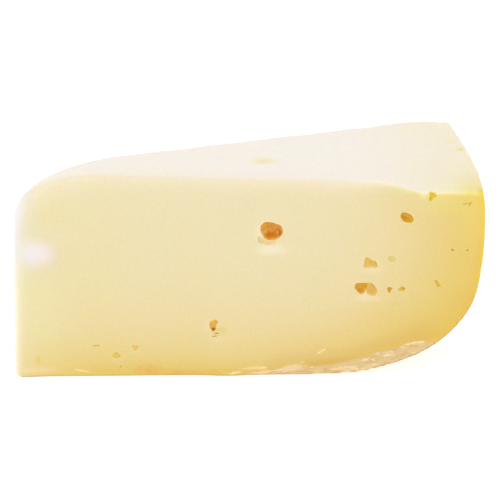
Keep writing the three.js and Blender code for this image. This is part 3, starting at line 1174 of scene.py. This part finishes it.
def torn_paste(colours):
    """Paste torn open by the wire: short, dry and paler than the smooth cut."""
    material, output = new_material("torn_cheese_paste")
    tree = material.node_tree
    torn = graded(tree, grain(tree, 0.6), [(0.4, colours.torn), (0.9, colours.heart)])
    finish_material(
        tree,
        output,
        {
            "Base Color": torn,
            "Roughness": patchy(tree, 0.5, 0.5, 0.7),
            "Normal": bumps(tree, grain(tree, 0.5), 0.1),
            "IOR": PASTE_IOR,
            **scattering(0.4, 1.5),
        },
    )
    return material


def coated_rind(colours):
    """Natural rind under a breathing plastic coat: amber, satin, mottled and lightly pitted."""
    material, output = new_material("coated_natural_rind")
    tree = material.node_tree
    mottle = grain(tree, 14, detail=4.0)
    skin = graded(
        tree, mottle, [(0.25, colours.rind_dark), (0.5, colours.rind), (0.85, colours.ripe)]
    )
    rub = spread(tree, grain(tree, 4.0, detail=4.0), 0.62, 0.74, 0.0, 0.5)
    skin = blend(tree, rub, skin, rgba(colours.scuff))
    # Near the cuts the rind's edge turns from brown low down, partly painted shade by the floor, to
    # yellow higher up.
    foot = spread(tree, attribute(tree, "rind_arc"), *FOOT_ARCS)
    edge = blend(tree, foot, rgba(colours.rind_foot_and_shade), rgba(colours.rim))
    skin = blend(tree, attribute(tree, "near_top"), skin, rgba(colours.rind_lip))
    skin = blend(tree, attribute(tree, "near_cut"), skin, edge)
    pits = bumps(tree, patchy(tree, 1.1, 0.0, 1.0), 0.12)
    surface = bumps(tree, grain(tree, 4.5), 0.35, pits)
    finish_material(
        tree,
        output,
        {
            "Base Color": skin,
            "Roughness": patchy(tree, 2.5, 0.32, 0.5, detail=3.0),
            "Normal": surface,
            "IOR": COAT_IOR,
            "Coat Weight": 0.25,
            "Coat Roughness": 0.3,
            **scattering(0.3, 1.5),
        },
    )
    return material


FLOOR_GLOW = 0.76
FLOOR_PATCHES = 400


def studio_paint(colours):
    """Matt white acrylic of a light table, glowing a little so that shadows stay pale."""
    material, output = new_material("matt_light_table_acrylic")
    tree = material.node_tree
    cloud = patchy(tree, FLOOR_PATCHES, 0.99, 1.0, detail=1.0)
    finish_material(
        tree,
        output,
        {
            "Base Color": multiplied(tree, rgba(colours.floor), cloud),
            "Roughness": 0.9,
            "Emission Color": WHITE,
            "Emission Strength": FLOOR_GLOW,
        },
    )
    return material


# --------------------------------------------------------------------------- dressing the surface

# Depths under the top, and behind the cut, over which marks made on them fade out.
TOP_SKIN = (0.5 * MM, 2 * MM)
CUT_SKIN = (MM, 3 * MM)
DEEP_SKIN = (6 * MM, 8 * MM)
# How deep the rind's material goes, and how far a face has to face outwards and down for it.
RIND_SKIN = 1.1 * MM
SIDE_FACING = 0.55
BASE_FACING = -0.6
# The shading stays sharp at edges steeper than this, as at an eye's rim.
EYE_RIM_ANGLE = math.radians(38)
# Millimetres from the cuts and from the top over which the rind has the colours of its edge.
NEAR_CUT = 1.6
NEAR_TOP = 1.9

# How ripe the rind makes the paste, and how far in: from the side, the base and the rim.
SIDE_RIPENESS = 0.735
SIDE_RIPENING = 29.5 * MM
SIDE_POWER = 1.75
BASE_RIPENESS = 0.8
BASE_RIPENING = 19 * MM
RIM_RIPENESS = 0.4
RIM_RIPENING = 2.2 * MM
# How warm the top is where the front cut meets the rind.
CORNER_RIPENESS = 0.16
CORNER_RIPENING = 15 * MM
# How much less the side ripens the top towards the back, and how much of the base's ripening
# reaches the tip.
BACK_PALING = 0.28
BACK_PALING_ENDS = (4 * MM, 34 * MM)
TIP_SHARE = 0.6
TIP_SHARE_ENDS = (20 * MM, 50 * MM)

# Orange stains on the front cut: x, z, half sizes and strength, in millimetres.
STAINS = [
    (61.5, 1.4, 5.5, 4.0, 0.95),
    (75.0, 0.8, 15.0, 1.8, 1.0),
]
# Riper patches on the front cut: x, z, half sizes and strength, in millimetres.
RIPE_PATCHES = [
    (38.0, 4.5, 19.0, 7.5, 0.16),
    (63.0, 2.5, 12.0, 5.0, 0.2),
]
# Pale patches on the front cut: x, z, half sizes and strength, in millimetres.
PALE_PATCHES = [
    # The first is a painted highlight on the cut near the tip.
    (22.6, 47.6, 6.1, 5.0, 0.97),
    (153.6, 69.4, 1.4, 1.5, 0.42),
    (102.6, 48.6, 5.0, 1.9, 0.4),
    (98.0, 55.0, 1.2, 3.0, 0.2),
    (136.4, 40.3, 3.4, 1.2, 0.15),
    (135.5, 29.8, 4.6, 1.2, 0.25),
    (80.8, 19.6, 0.9, 2.4, 0.15),
    (84.8, 14.2, 3.2, 1.1, 0.15),
    (56.5, 9.6, 1.8, 0.6, 0.12),
    (50.0, 6.5, 2.0, 0.8, 0.12),
    (22.5, 2.8, 7.0, 1.1, 0.25),
]

# How far up a place's normal points where it starts and where it fully counts as facing up.
FACING_UP = (0.3, 0.9)
# How flat a touch is in its middle.
TOUCH_POWER = 3.0
# Slow changes of tone over the front cut: x, z, half sizes in millimetres, and what they
# multiply red, green and blue by.
TOUCHES = [
    # The first four rows are painted light at the tip: painted shade that dulls it and a painted
    # bluish-white highlight.
    (15.6, 58.0, 8.0, 26.0, (0.95, 0.98, 1.0)),
    (15.6, 61.0, 3.2, 10.0, (1.0, 1.0, 1.1)),
    (15.6, 52.0, 1.8, 14.0, (0.95, 0.96, 1.05)),
    (17.5, 67.0, 5.0, 7.0, (1.0, 1.01, 1.15)),
    (169.2, 68.9, 1.1, 1.0, (0.97, 1.03, 0.66)),
    (128.0, 17.0, 14.0, 8.0, (1.0, 0.985, 0.93)),
    (116.0, 12.0, 22.0, 5.0, (1.0, 0.975, 0.95)),
    (27.0, 9.0, 7.0, 6.0, (1.0, 1.0, 0.95)),
    (27.0, 64.0, 8.5, 6.5, (1.0, 1.0, 0.92)),
    # Cools the painted highlight near the tip.
    (24.0, 47.0, 7.0, 6.0, (0.93, 0.905, 1.03)),
    (35.0, 40.0, 20.0, 40.0, (1.0, 1.0, 0.945)),
    (22.0, 26.0, 9.0, 16.0, (1.01, 1.04, 1.0)),
    (165.0, 66.0, 13.0, 4.5, (1.02, 1.06, 0.97)),
    (172.0, 57.0, 5.0, 10.0, (1.04, 1.05, 1.02)),
    (143.0, 22.0, 13.0, 8.0, (1.0, 0.975, 0.9)),
    (75.0, 3.5, 45.0, 3.0, (1.0, 0.97, 0.93)),
    (165.0, 50.0, 7.0, 14.0, (1.02, 1.0, 0.94)),
    (84.8, 18.0, 0.9, 0.9, (1.02, 0.88, 0.7)),
    (86.4, 17.5, 1.3, 1.9, (0.94, 0.97, 0.75)),
    (169.8, 37.0, 3.2, 4.5, (1.01, 1.02, 1.13)),
    (106.5, 54.6, 1.1, 2.4, (1.01, 0.97, 0.86)),
]
# The same for tones that end at the top's sharp edge.
EDGE_TOUCHES = [
    (147.0, 70.3, 5.5, 1.7, (0.96, 1.03, 0.93)),
    (150.3, 69.6, 1.6, 0.6, (0.95, 1.02, 0.72)),
]
# The same for single eyes and for the pale lips and darker ends inside them: the pale lips are
# partly painted glints, and the olive tones along the eyes' upper rims are partly painted shade.
EYE_TONES = [
    (102.4, 55.9, 3.3, 3.3, (0.99, 0.95, 0.9)),
    (99.9, 54.5, 1.3, 2.1, (1.16, 1.42, 2.9)),
    (104.9, 55.2, 1.2, 1.4, (1.05, 1.15, 2.0)),
    (105.3, 54.0, 0.8, 1.0, (0.76, 0.66, 0.58)),
    (104.65, 53.8, 0.28, 0.36, (1.55, 2.8, 11.0)),
    (104.8, 53.3, 0.28, 0.28, (1.15, 1.35, 1.6)),
    (100.7, 53.0, 0.9, 0.6, (1.0, 0.97, 0.75)),
    (99.9, 52.9, 0.5, 0.6, (1.0, 0.9, 0.62)),
    (100.7, 52.9, 0.6, 1.0, (1.05, 1.22, 1.5)),
    (99.0, 56.8, 0.5, 1.2, (0.78, 0.86, 0.6)),
    (102.2, 59.2, 2.0, 0.5, (0.86, 0.92, 0.8)),
    (105.4, 56.0, 1.3, 1.3, (1.0, 0.9, 1.1)),
    (102.3, 52.6, 1.9, 0.4, (1.0, 1.08, 0.6)),
    (99.2, 52.2, 1.5, 1.5, (0.88, 0.97, 0.82)),
    (101.9, 51.5, 2.2, 1.2, (0.96, 0.92, 1.05)),
    (148.3, 60.0, 2.7, 2.2, (1.02, 1.07, 0.75)),
    (147.0, 59.6, 0.9, 1.1, (0.95, 1.0, 0.75)),
    (148.6, 60.3, 0.8, 0.9, (1.12, 1.1, 1.3)),
    (149.3, 58.7, 1.0, 0.5, (0.95, 1.06, 0.9)),
    (156.35, 68.0, 2.4, 2.4, (1.04, 1.26, 0.82)),
    (167.6, 65.5, 1.1, 0.4, (1.12, 1.06, 0.7)),
    (169.4, 65.5, 1.2, 1.2, (1.1, 1.13, 0.8)),
    (136.2, 41.7, 2.8, 0.75, (1.09, 1.28, 1.9)),
    (136.2, 44.0, 2.4, 1.4, (0.97, 1.07, 0.85)),
    (138.0, 43.3, 0.6, 0.7, (0.85, 0.88, 0.8)),
    (135.0, 43.5, 0.8, 0.9, (1.05, 1.05, 1.3)),
    (133.3, 33.6, 2.4, 2.4, (1.0, 1.07, 0.7)),
    (136.9, 33.1, 2.2, 2.2, (0.92, 0.9, 0.8)),
    (137.4, 34.5, 0.7, 0.6, (0.75, 0.78, 0.6)),
    (143.0, 33.0, 1.2, 1.3, (1.05, 0.97, 0.72)),
    (146.1, 33.1, 0.8, 0.8, (0.9, 1.0, 0.8)),
    (159.5, 35.05, 2.0, 2.0, (1.0, 1.1, 0.82)),
    (143.5, 45.0, 1.7, 1.4, (0.9, 0.99, 1.12)),
    (82.95, 21.0, 1.4, 1.5, (1.12, 1.21, 1.12)),
    (83.1, 19.4, 0.8, 0.7, (1.1, 1.08, 0.8)),
    (84.2, 21.0, 0.4, 0.9, (0.88, 0.98, 0.6)),
    (56.6, 11.4, 1.6, 1.4, (1.05, 1.08, 1.12)),
    (49.9, 8.4, 1.6, 1.4, (1.05, 1.12, 1.1)),
    (50.8, 8.3, 0.6, 0.8, (0.88, 0.97, 0.8)),
    (42.3, 12.0, 0.8, 0.8, (0.93, 1.0, 0.95)),
]


def off_middle(places, x, z, wide, high):
    """How far each place is off a blot's middle, as a share of the blot's size."""
    return np.hypot((places.x / MM - x) / wide, (places.z / MM - z) / high)


def blots(places, list_of_blots, power=2.0):
    """The strongest of some soft blots on the front cut, at each place."""
    total = np.zeros(len(places.x))
    for x, z, wide, high, strength in list_of_blots:
        blot = hump(off_middle(places, x, z, wide, high), 1.0, power)
        total = np.maximum(total, strength * blot)
    return total * fading(places.in_front, *CUT_SKIN)


def tint_by(share, tint):
    """What a tint of that share multiplies red, green and blue by, at each place."""
    return 1.0 + share[:, None] * (np.array(tint) - 1.0)


def tinting(places, list_of_tints, where=1.0):
    """What the touches multiply red, green and blue by, at each place."""
    total = np.ones((len(places.x), 3))
    by_front = where * fading(places.in_front, *DEEP_SKIN)
    for x, z, wide, high, tint in list_of_tints:
        touch = hump(off_middle(places, x, z, wide, high), 1.0, TOUCH_POWER)
        total *= tint_by(by_front * touch, tint)
    return total


def facing_up(normals):
    """How much each place faces up: 0 on the cuts, 1 on the top."""
    return smooth_step(normals[:, 2], *FACING_UP)


def off_corner(places):
    """How far each place is from where the front cut meets the rind."""
    return np.hypot(places.level_to_rind, places.in_front)


def ripening(places):
    """How ripe the paste is, from 0 at the heart to about 1 where side and base meet."""
    on_top = fading(places.in_top, *TOP_SKIN)
    side = SIDE_RIPENESS * hump(places.level_to_rind, SIDE_RIPENING, SIDE_POWER)
    side = side * (1.0 - BACK_PALING * on_top * smooth_step(places.y, *BACK_PALING_ENDS))
    base = BASE_RIPENESS * hump(places.above_rind, BASE_RIPENING, 1.0)
    base = base * shift(TIP_SHARE, 1.0, smooth_step(places.x, *TIP_SHARE_ENDS))
    rim = RIM_RIPENESS * (1.0 - on_top) * hump(places.in_rind, RIM_RIPENING)
    corner = CORNER_RIPENESS * on_top * hump(off_corner(places), CORNER_RIPENING)
    patches = blots(places, RIPE_PATCHES)
    return 1.0 - (1.0 - side) * (1.0 - base) * (1.0 - rim) * (1.0 - corner) * (1.0 - patches)


# How wide the edges are pale: everywhere, more before the step and most over the nose.
EDGE_PALE_BAND = 0.4 * MM
MIDDLE_PALE_BAND = 1.8 * MM
MIDDLE_PALE_BAND_ENDS = (122 * MM, 158 * MM)
NOSE_PALE_BAND = 2.0 * MM
NOSE_PALE_BAND_ENDS = (22 * MM, 56 * MM)
# How deep the top's pale skin goes: partly a dried bloom, partly painted sheen.
TOP_BLOOM_AND_SHEEN = (0.15 * MM, 0.9 * MM)
# How much fresher the worn front edge is than the top: at the tip and from there to the step.
WORN_FRESHNESS = (0.15, 0.5)
WORN_START = (34 * MM, 54 * MM)
WORN_END = (114 * MM, 145 * MM)
# How pale the cuts are under the top's edge: along most of it, and by the step and past it. The
# back cut is paler still.
EDGE_PALENESS = (0.5, 0.75)
EDGE_PALENESS_ENDS = (110 * MM, 135 * MM)
BACK_PALE_BAND = 1.5 * MM
# How pale the painted highlight at the tip is, and how wide its fringe is low down and high up.
TIP_HIGHLIGHT = 0.9
TIP_FRINGE = (1.5 * MM, 3.0 * MM)
TIP_FRINGE_ENDS = (32 * MM, 48 * MM)
# The moist corner by the rind, which stays less pale.
CORNER_MOISTURE = 0.45
CORNER_MOISTURE_REACH = 9 * MM
# How flat a pale patch is in its middle.
PATCH_POWER = 2.8


def paling(places, normals):
    """Where the paste is pale: the sliced top, with dried bloom and painted sheen; the worn edges;
    the painted highlight at the tip; and the patches, one of them a painted highlight.
    """
    from_top = np.maximum(places.in_top, 0.0)
    from_front = np.maximum(places.in_front, 0.0)
    wear = EDGE_PALE_BAND + MIDDLE_PALE_BAND * fading(places.x, *MIDDLE_PALE_BAND_ENDS)
    wear = wear + NOSE_PALE_BAND * fading(places.x, *NOSE_PALE_BAND_ENDS)
    upwards = facing_up(normals) * fading(from_top, *TOP_BLOOM_AND_SHEEN)
    worn = shift(*WORN_FRESHNESS, smooth_step(places.x, *WORN_START)) * fading(places.x, *WORN_END)
    moist = CORNER_MOISTURE * hump(off_corner(places), CORNER_MOISTURE_REACH, 1.0)
    top = upwards * (1.0 - worn * hump(from_front, wear, 1.0)) * (1.0 - moist)
    by_back = hump(np.maximum(places.in_back, 0.0), BACK_PALE_BAND)
    strength = shift(*EDGE_PALENESS, smooth_step(places.x, *EDGE_PALENESS_ENDS))
    strength = shift(strength, 1.0, by_back) * (1.0 - upwards)
    edge = strength * hump(from_top, np.maximum(wear, by_back * MM), 1.0)
    fringe = shift(*TIP_FRINGE, smooth_step(places.z, *TIP_FRINGE_ENDS))
    tip = TIP_HIGHLIGHT * hump(np.maximum(places.in_tip, 0.0), fringe, 1.0)
    patches = blots(places, PALE_PATCHES, PATCH_POWER)
    faded = 1.0 - (1.0 - top) * (1.0 - edge) * (1.0 - tip) * (1.0 - patches)
    return np.clip(faded, 0.0, 1.0)


# The scuffed strip along the cut's lower edge: where it starts and ends, and what it stays under.
SCUFF_START = (98 * MM, 109 * MM)
SCUFF_END = (152 * MM, 164 * MM)
SCUFF_CEILING = 30 * MM
# Its width and how far inside it its border is drawn, in millimetres.
SCUFF_WIDTH = 3.9
SCUFF_INSET = 0.3
# Where it is wider: radius, reach and how much.
SCUFF_BULGE = (142.5 * MM, 15 * MM, 2.5)
# How far, in millimetres, the strip's border strays: at its thin end and further along.
FRAY = (1.4, 0.7)
FRAY_PLACES = (96 * MM, 114 * MM)
# Brown paste dragged along above the strip: how far off its border each smear starts and is
# full, in millimetres, the radii between which it comes and goes, and its strength.
SMEARS = (
    ((-8.0, -2.0), (96 * MM, 106 * MM), (152 * MM, 164 * MM), 0.45),
    ((-3.2, -0.6), (112 * MM, 117 * MM), (124 * MM, 136 * MM), 0.55),
)
# Where a smear ends, in millimetres inside the strip's border.
SMEAR_EDGE = (-0.3, 0.6)
# What a smear multiplies red, green and blue by.
SMEAR_TINT = (0.92, 0.81, 0.72)


def scuffing(places):
    """Millimetres inside the scuffed strip's border, less than nothing outside it."""
    middle, reach, extra = SCUFF_BULGE
    width = SCUFF_WIDTH + extra * hump(places.radius - middle, reach)
    width = width * smooth_step(places.radius, *SCUFF_START) * fading(places.radius, *SCUFF_END)
    lower = places.z < SCUFF_CEILING
    return np.where(lower, width, 0.0) - places.in_rind / MM - SCUFF_INSET


def smearing(places, scuff):
    """What the brown paste dragged along above the strip multiplies the colour by."""
    share = np.zeros(len(scuff))
    for nearing, coming, going, strength in SMEARS:
        along = smooth_step(places.radius, *coming) * fading(places.radius, *going)
        share += strength * along * smooth_step(scuff, *nearing)
    share *= fading(scuff, *SMEAR_EDGE) * fading(places.in_front, *DEEP_SKIN)
    return tint_by(share, SMEAR_TINT)


# The fresher line just under the top's edge: strength, width, start and depth behind the cut.
LEMON_LINE = 0.38
LEMON_WIDTH = 1.2 * MM
LEMON_START = (146 * MM, 158 * MM)
LEMON_SKIN = (MM, 2 * MM)
# Spots where the top is fresher: x, y, half sizes and strength, in millimetres.
LEMON_SPOTS = [
    (100.3, 14.4, 4.1, 2.4, 0.58),
    (168.8, 33.8, 1.5, 1.2, 0.95),
    (165.4, 38.4, 1.4, 1.6, 0.4),
    (173.0, 0.0, 4.5, 4.5, 0.5),
]
# The yellow line against the rind: strength, width, how much wider it is at the top, and
# where it comes in and widens.
RIM_STRENGTH = 0.93
RIM_LINE = 1.05 * MM
RIM_WIDENING = 0.7
RIM_START = (28 * MM, 40 * MM)
RIM_TOP = (60 * MM, 68 * MM)
# Millimetres from the cuts over which it fades, and how far off the top's back corner counts.
RIM_REACH = 3.3
BACK_CORNER = 6.0
CORNER_HEIGHT = 5 * MM


def freshness(places, normals):
    """The lemon line on the cut just under the top's edge, and the lemon spots on the top."""
    line = LEMON_LINE * hump(places.in_top, LEMON_WIDTH) * (1.0 - facing_up(normals))
    line *= smooth_step(places.x, *LEMON_START) * fading(places.in_front, *LEMON_SKIN)
    on_top = fading(places.in_top, *TOP_SKIN)
    for x, y, wide, deep, strength in LEMON_SPOTS:
        away = np.hypot((places.x / MM - x) / wide, (places.y / MM - y) / deep)
        line = np.maximum(line, strength * on_top * hump(away, 1.0, 3.0))
    return line


def off_cuts(places):
    """Millimetres to the nearer cut, where the top's back corner counts as far from the back."""
    off_back = places.in_back / MM + BACK_CORNER * hump(places.in_top, CORNER_HEIGHT)
    return np.minimum(places.in_front / MM, off_back)


def rim_line(places):
    """The thin yellow line against the rind, along the upper part of the cut."""
    width = RIM_LINE * (1.0 + RIM_WIDENING * smooth_step(places.z, *RIM_TOP))
    high = smooth_step(places.z, *RIM_START)
    return RIM_STRENGTH * high * hump(off_cuts(places), RIM_REACH) * hump(places.in_rind, width)


def store(mesh, name, values):
    """Keeps a number for each vertex as a named attribute."""
    layer = mesh.attributes.new(name, "FLOAT", "POINT")
    layer.data.foreach_set("value", values.astype(np.float32))


def store_colour(mesh, name, values):
    """Keeps a colour for each vertex as a named attribute."""
    layer = mesh.attributes.new(name, "FLOAT_COLOR", "POINT")
    opaque = np.concatenate((values, np.ones((len(values), 1))), axis=1)
    layer.data.foreach_set("color", opaque.astype(np.float32).ravel())


def face_materials(mesh, sizes):
    """Gives the rind's faces the rind's material: those on the wheel's side and base."""
    count = len(mesh.polygons)
    index = np.empty(count, np.int32)
    mesh.polygons.foreach_get("material_index", index)
    centres = np.empty(count * 3, np.float32)
    mesh.polygons.foreach_get("center", centres)
    facing = np.empty(count * 3, np.float32)
    mesh.polygons.foreach_get("normal", facing)
    places = WheelPlaces(sizes, centres.reshape(-1, 3).astype(float))
    facing = facing.reshape(-1, 3)
    outwards = (facing[:, 0] * places.x + facing[:, 1] * places.y) / places.radius
    on_side = (places.in_rind < RIND_SKIN) & (outwards - facing[:, 2] > SIDE_FACING)
    on_base = (places.in_base < RIND_SKIN) & (facing[:, 2] < BASE_FACING)
    paste = mesh.materials.find("cut_cheese_paste")
    rind = mesh.materials.find("coated_natural_rind")
    index[(on_side | on_base) & (index == paste)] = rind
    mesh.polygons.foreach_set("material_index", index)


class CHEESE_OT_dress_surface(bpy.types.Operator):
    """Marks the wedge's skin with ripeness, bloom and painted sheen, stains, scuffs and painted
    glints and shade, and hands it to the body
    """

    bl_idname = "cheese.dress_surface"
    bl_label = "Dress surface"

    def execute(self, context):
        sizes = context.scene.wedge_sizes
        piece = bpy.data.objects[PIECE]
        mesh = piece.data
        mesh.materials.append(coated_rind(context.scene.cheese_colours))
        face_materials(mesh, sizes)
        points, normals = points_of(mesh)
        places = WheelPlaces(sizes, points)
        scuff = scuffing(places)
        marks = {
            "ripeness": ripening(places),
            "paleness": paling(places, normals),
            "scuff": scuff,
            "fray": shift(*FRAY, smooth_step(places.radius, *FRAY_PLACES)),
            "stain": blots(places, STAINS),
            "lemon": freshness(places, normals),
            "rim": rim_line(places),
            "near_cut": hump(off_cuts(places), NEAR_CUT),
            "near_top": hump(places.in_top / MM, NEAR_TOP),
            "depth": places.inside() / MM,
            "upward": normals[:, 2],
            "rind_arc": places.rind_arc / MM,
            "rind_depth": places.in_rind / MM,
        }
        for name, values in marks.items():
            store(mesh, name, values)
        # Touches include painted shade and a painted highlight at the tip.
        touches = tinting(places, TOUCHES) * smearing(places, scuff)
        touches *= tinting(places, EDGE_TOUCHES, 1.0 - facing_up(normals))
        store_colour(mesh, "touch", touches)
        # Eye tones, with painted glints and painted shade in the eyes.
        store_colour(mesh, "tone", tinting(places, EYE_TONES))
        mesh.shade_smooth()
        mesh.set_sharp_from_angle(angle=EYE_RIM_ANGLE)
        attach(piece, "root")
        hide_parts(NODE)
        return {"FINISHED"}


# -------------------------------------------------------------------------------------- the stage

FLOOR_SIZE = 6.0
CAMERA_TARGET = Vector((1.01, -2.71, 36.36)) * MM
SENSOR_WIDTH = 36.0
NEAREST = 0.05
# Places, sizes and colours of the two lamps, in metres.
KEY_PLACE = (-0.55, -0.75, 0.95)
KEY_SIZE = 0.7
KEY_TINT = (1.0, 0.99, 0.97)
FILL_PLACE = (0.8, -0.5, 0.5)
FILL_SIZE = 0.8
FILL_TINT = (1.0, 1.0, 1.0)


def set_camera(stage):
    """Stands the camera off its target at the stage's bearing, height and roll."""
    azimuth = math.radians(stage.camera_azimuth)
    elevation = math.radians(stage.camera_elevation)
    forward = Vector(
        (
            math.sin(azimuth) * math.cos(elevation),
            math.cos(azimuth) * math.cos(elevation),
            -math.sin(elevation),
        )
    )
    camera = bpy.data.objects.new("camera", bpy.data.cameras.new("camera"))
    camera.data.lens = stage.camera_lens
    camera.data.sensor_width = SENSOR_WIDTH
    camera.data.clip_start = NEAREST
    camera.location = CAMERA_TARGET - forward * stage.camera_distance
    roll = Quaternion((0.0, 0.0, 1.0), math.radians(stage.camera_roll))
    camera.rotation_mode = "QUATERNION"
    camera.rotation_quaternion = forward.to_track_quat("-Z", "Y") @ roll
    bpy.context.scene.collection.objects.link(camera)
    bpy.context.scene.camera = camera


def set_light(name, place, size, power, tint):
    """A soft square lamp that faces the wedge."""
    data = bpy.data.lights.new(name, "AREA")
    data.shape = "SQUARE"
    data.size = size
    data.energy = power
    data.color = tint
    lamp = bpy.data.objects.new(name, data)
    lamp.location = place
    lamp.rotation_mode = "QUATERNION"
    lamp.rotation_quaternion = (CAMERA_TARGET - lamp.location).to_track_quat("-Z", "Y")
    bpy.context.scene.collection.objects.link(lamp)


def set_sky(strength):
    """Even white surroundings."""
    world = bpy.data.worlds.new("studio")
    world.use_nodes = True
    world.node_tree.nodes.clear()
    output = add(world.node_tree, "ShaderNodeOutputWorld")
    sky = add(world.node_tree, "ShaderNodeBackground", {"Color": WHITE, "Strength": strength})
    world.node_tree.links.new(sky.outputs["Background"], output.inputs["Surface"])
    bpy.context.scene.world = world


class CHEESE_OT_set_stage(bpy.types.Operator):
    """Lays the pale floor, hangs the soft lights and stands the camera"""

    bl_idname = "cheese.set_stage"
    bl_label = "Set stage"

    def execute(self, context):
        stage = context.scene.stage_settings
        bm = bmesh.new()
        bmesh.ops.create_grid(bm, x_segments=1, y_segments=1, size=FLOOR_SIZE / 2)
        floor = new_piece("floor", mesh_from(bm, "floor"))
        floor.data.materials.append(studio_paint(context.scene.cheese_colours))
        set_sky(stage.sky_strength)
        set_light("key", KEY_PLACE, KEY_SIZE, stage.key_power, KEY_TINT)
        set_light("fill", FILL_PLACE, FILL_SIZE, stage.fill_power, FILL_TINT)
        set_camera(stage)
        context.scene.view_settings.view_transform = "Standard"
        return {"FINISHED"}


# ---------------------------------------------------------------------------------------- add-on


class CHEESE_PT_sidebar(bpy.types.Panel):
    """Lists the steps that make the wedge"""

    bl_idname = "CHEESE_PT_sidebar"
    bl_label = "Cheese wedge"
    bl_space_type = "VIEW_3D"
    bl_region_type = "UI"
    bl_category = "Cheese"

    def draw(self, context):
        for step in STEPS:
            self.layout.operator(step.bl_idname)


STEPS = (
    CHEESE_OT_cut_wedge,
    CHEESE_OT_open_eyes,
    CHEESE_OT_dress_surface,
    CHEESE_OT_set_stage,
)
SETTINGS = {
    "wedge_sizes": WedgeSizes,
    "cheese_colours": CheeseColours,
    "stage_settings": StageSettings,
}


def register():
    """Registers the settings, the steps and the panel."""
    for name, group in SETTINGS.items():
        bpy.utils.register_class(group)
        setattr(bpy.types.Scene, name, bpy.props.PointerProperty(type=group))
    for entry in (*STEPS, CHEESE_PT_sidebar):
        bpy.utils.register_class(entry)


def unregister():
    """Takes everything that register added away again."""
    for entry in (CHEESE_PT_sidebar, *reversed(STEPS)):
        bpy.utils.unregister_class(entry)
    for name, group in SETTINGS.items():
        delattr(bpy.types.Scene, name)
        bpy.utils.unregister_class(group)


def main():
    register()
    bpy.ops.cheese.cut_wedge()
    bpy.ops.cheese.open_eyes()
    bpy.ops.cheese.dress_surface()
    bpy.ops.cheese.set_stage()


if __name__ == "__main__":
    main()
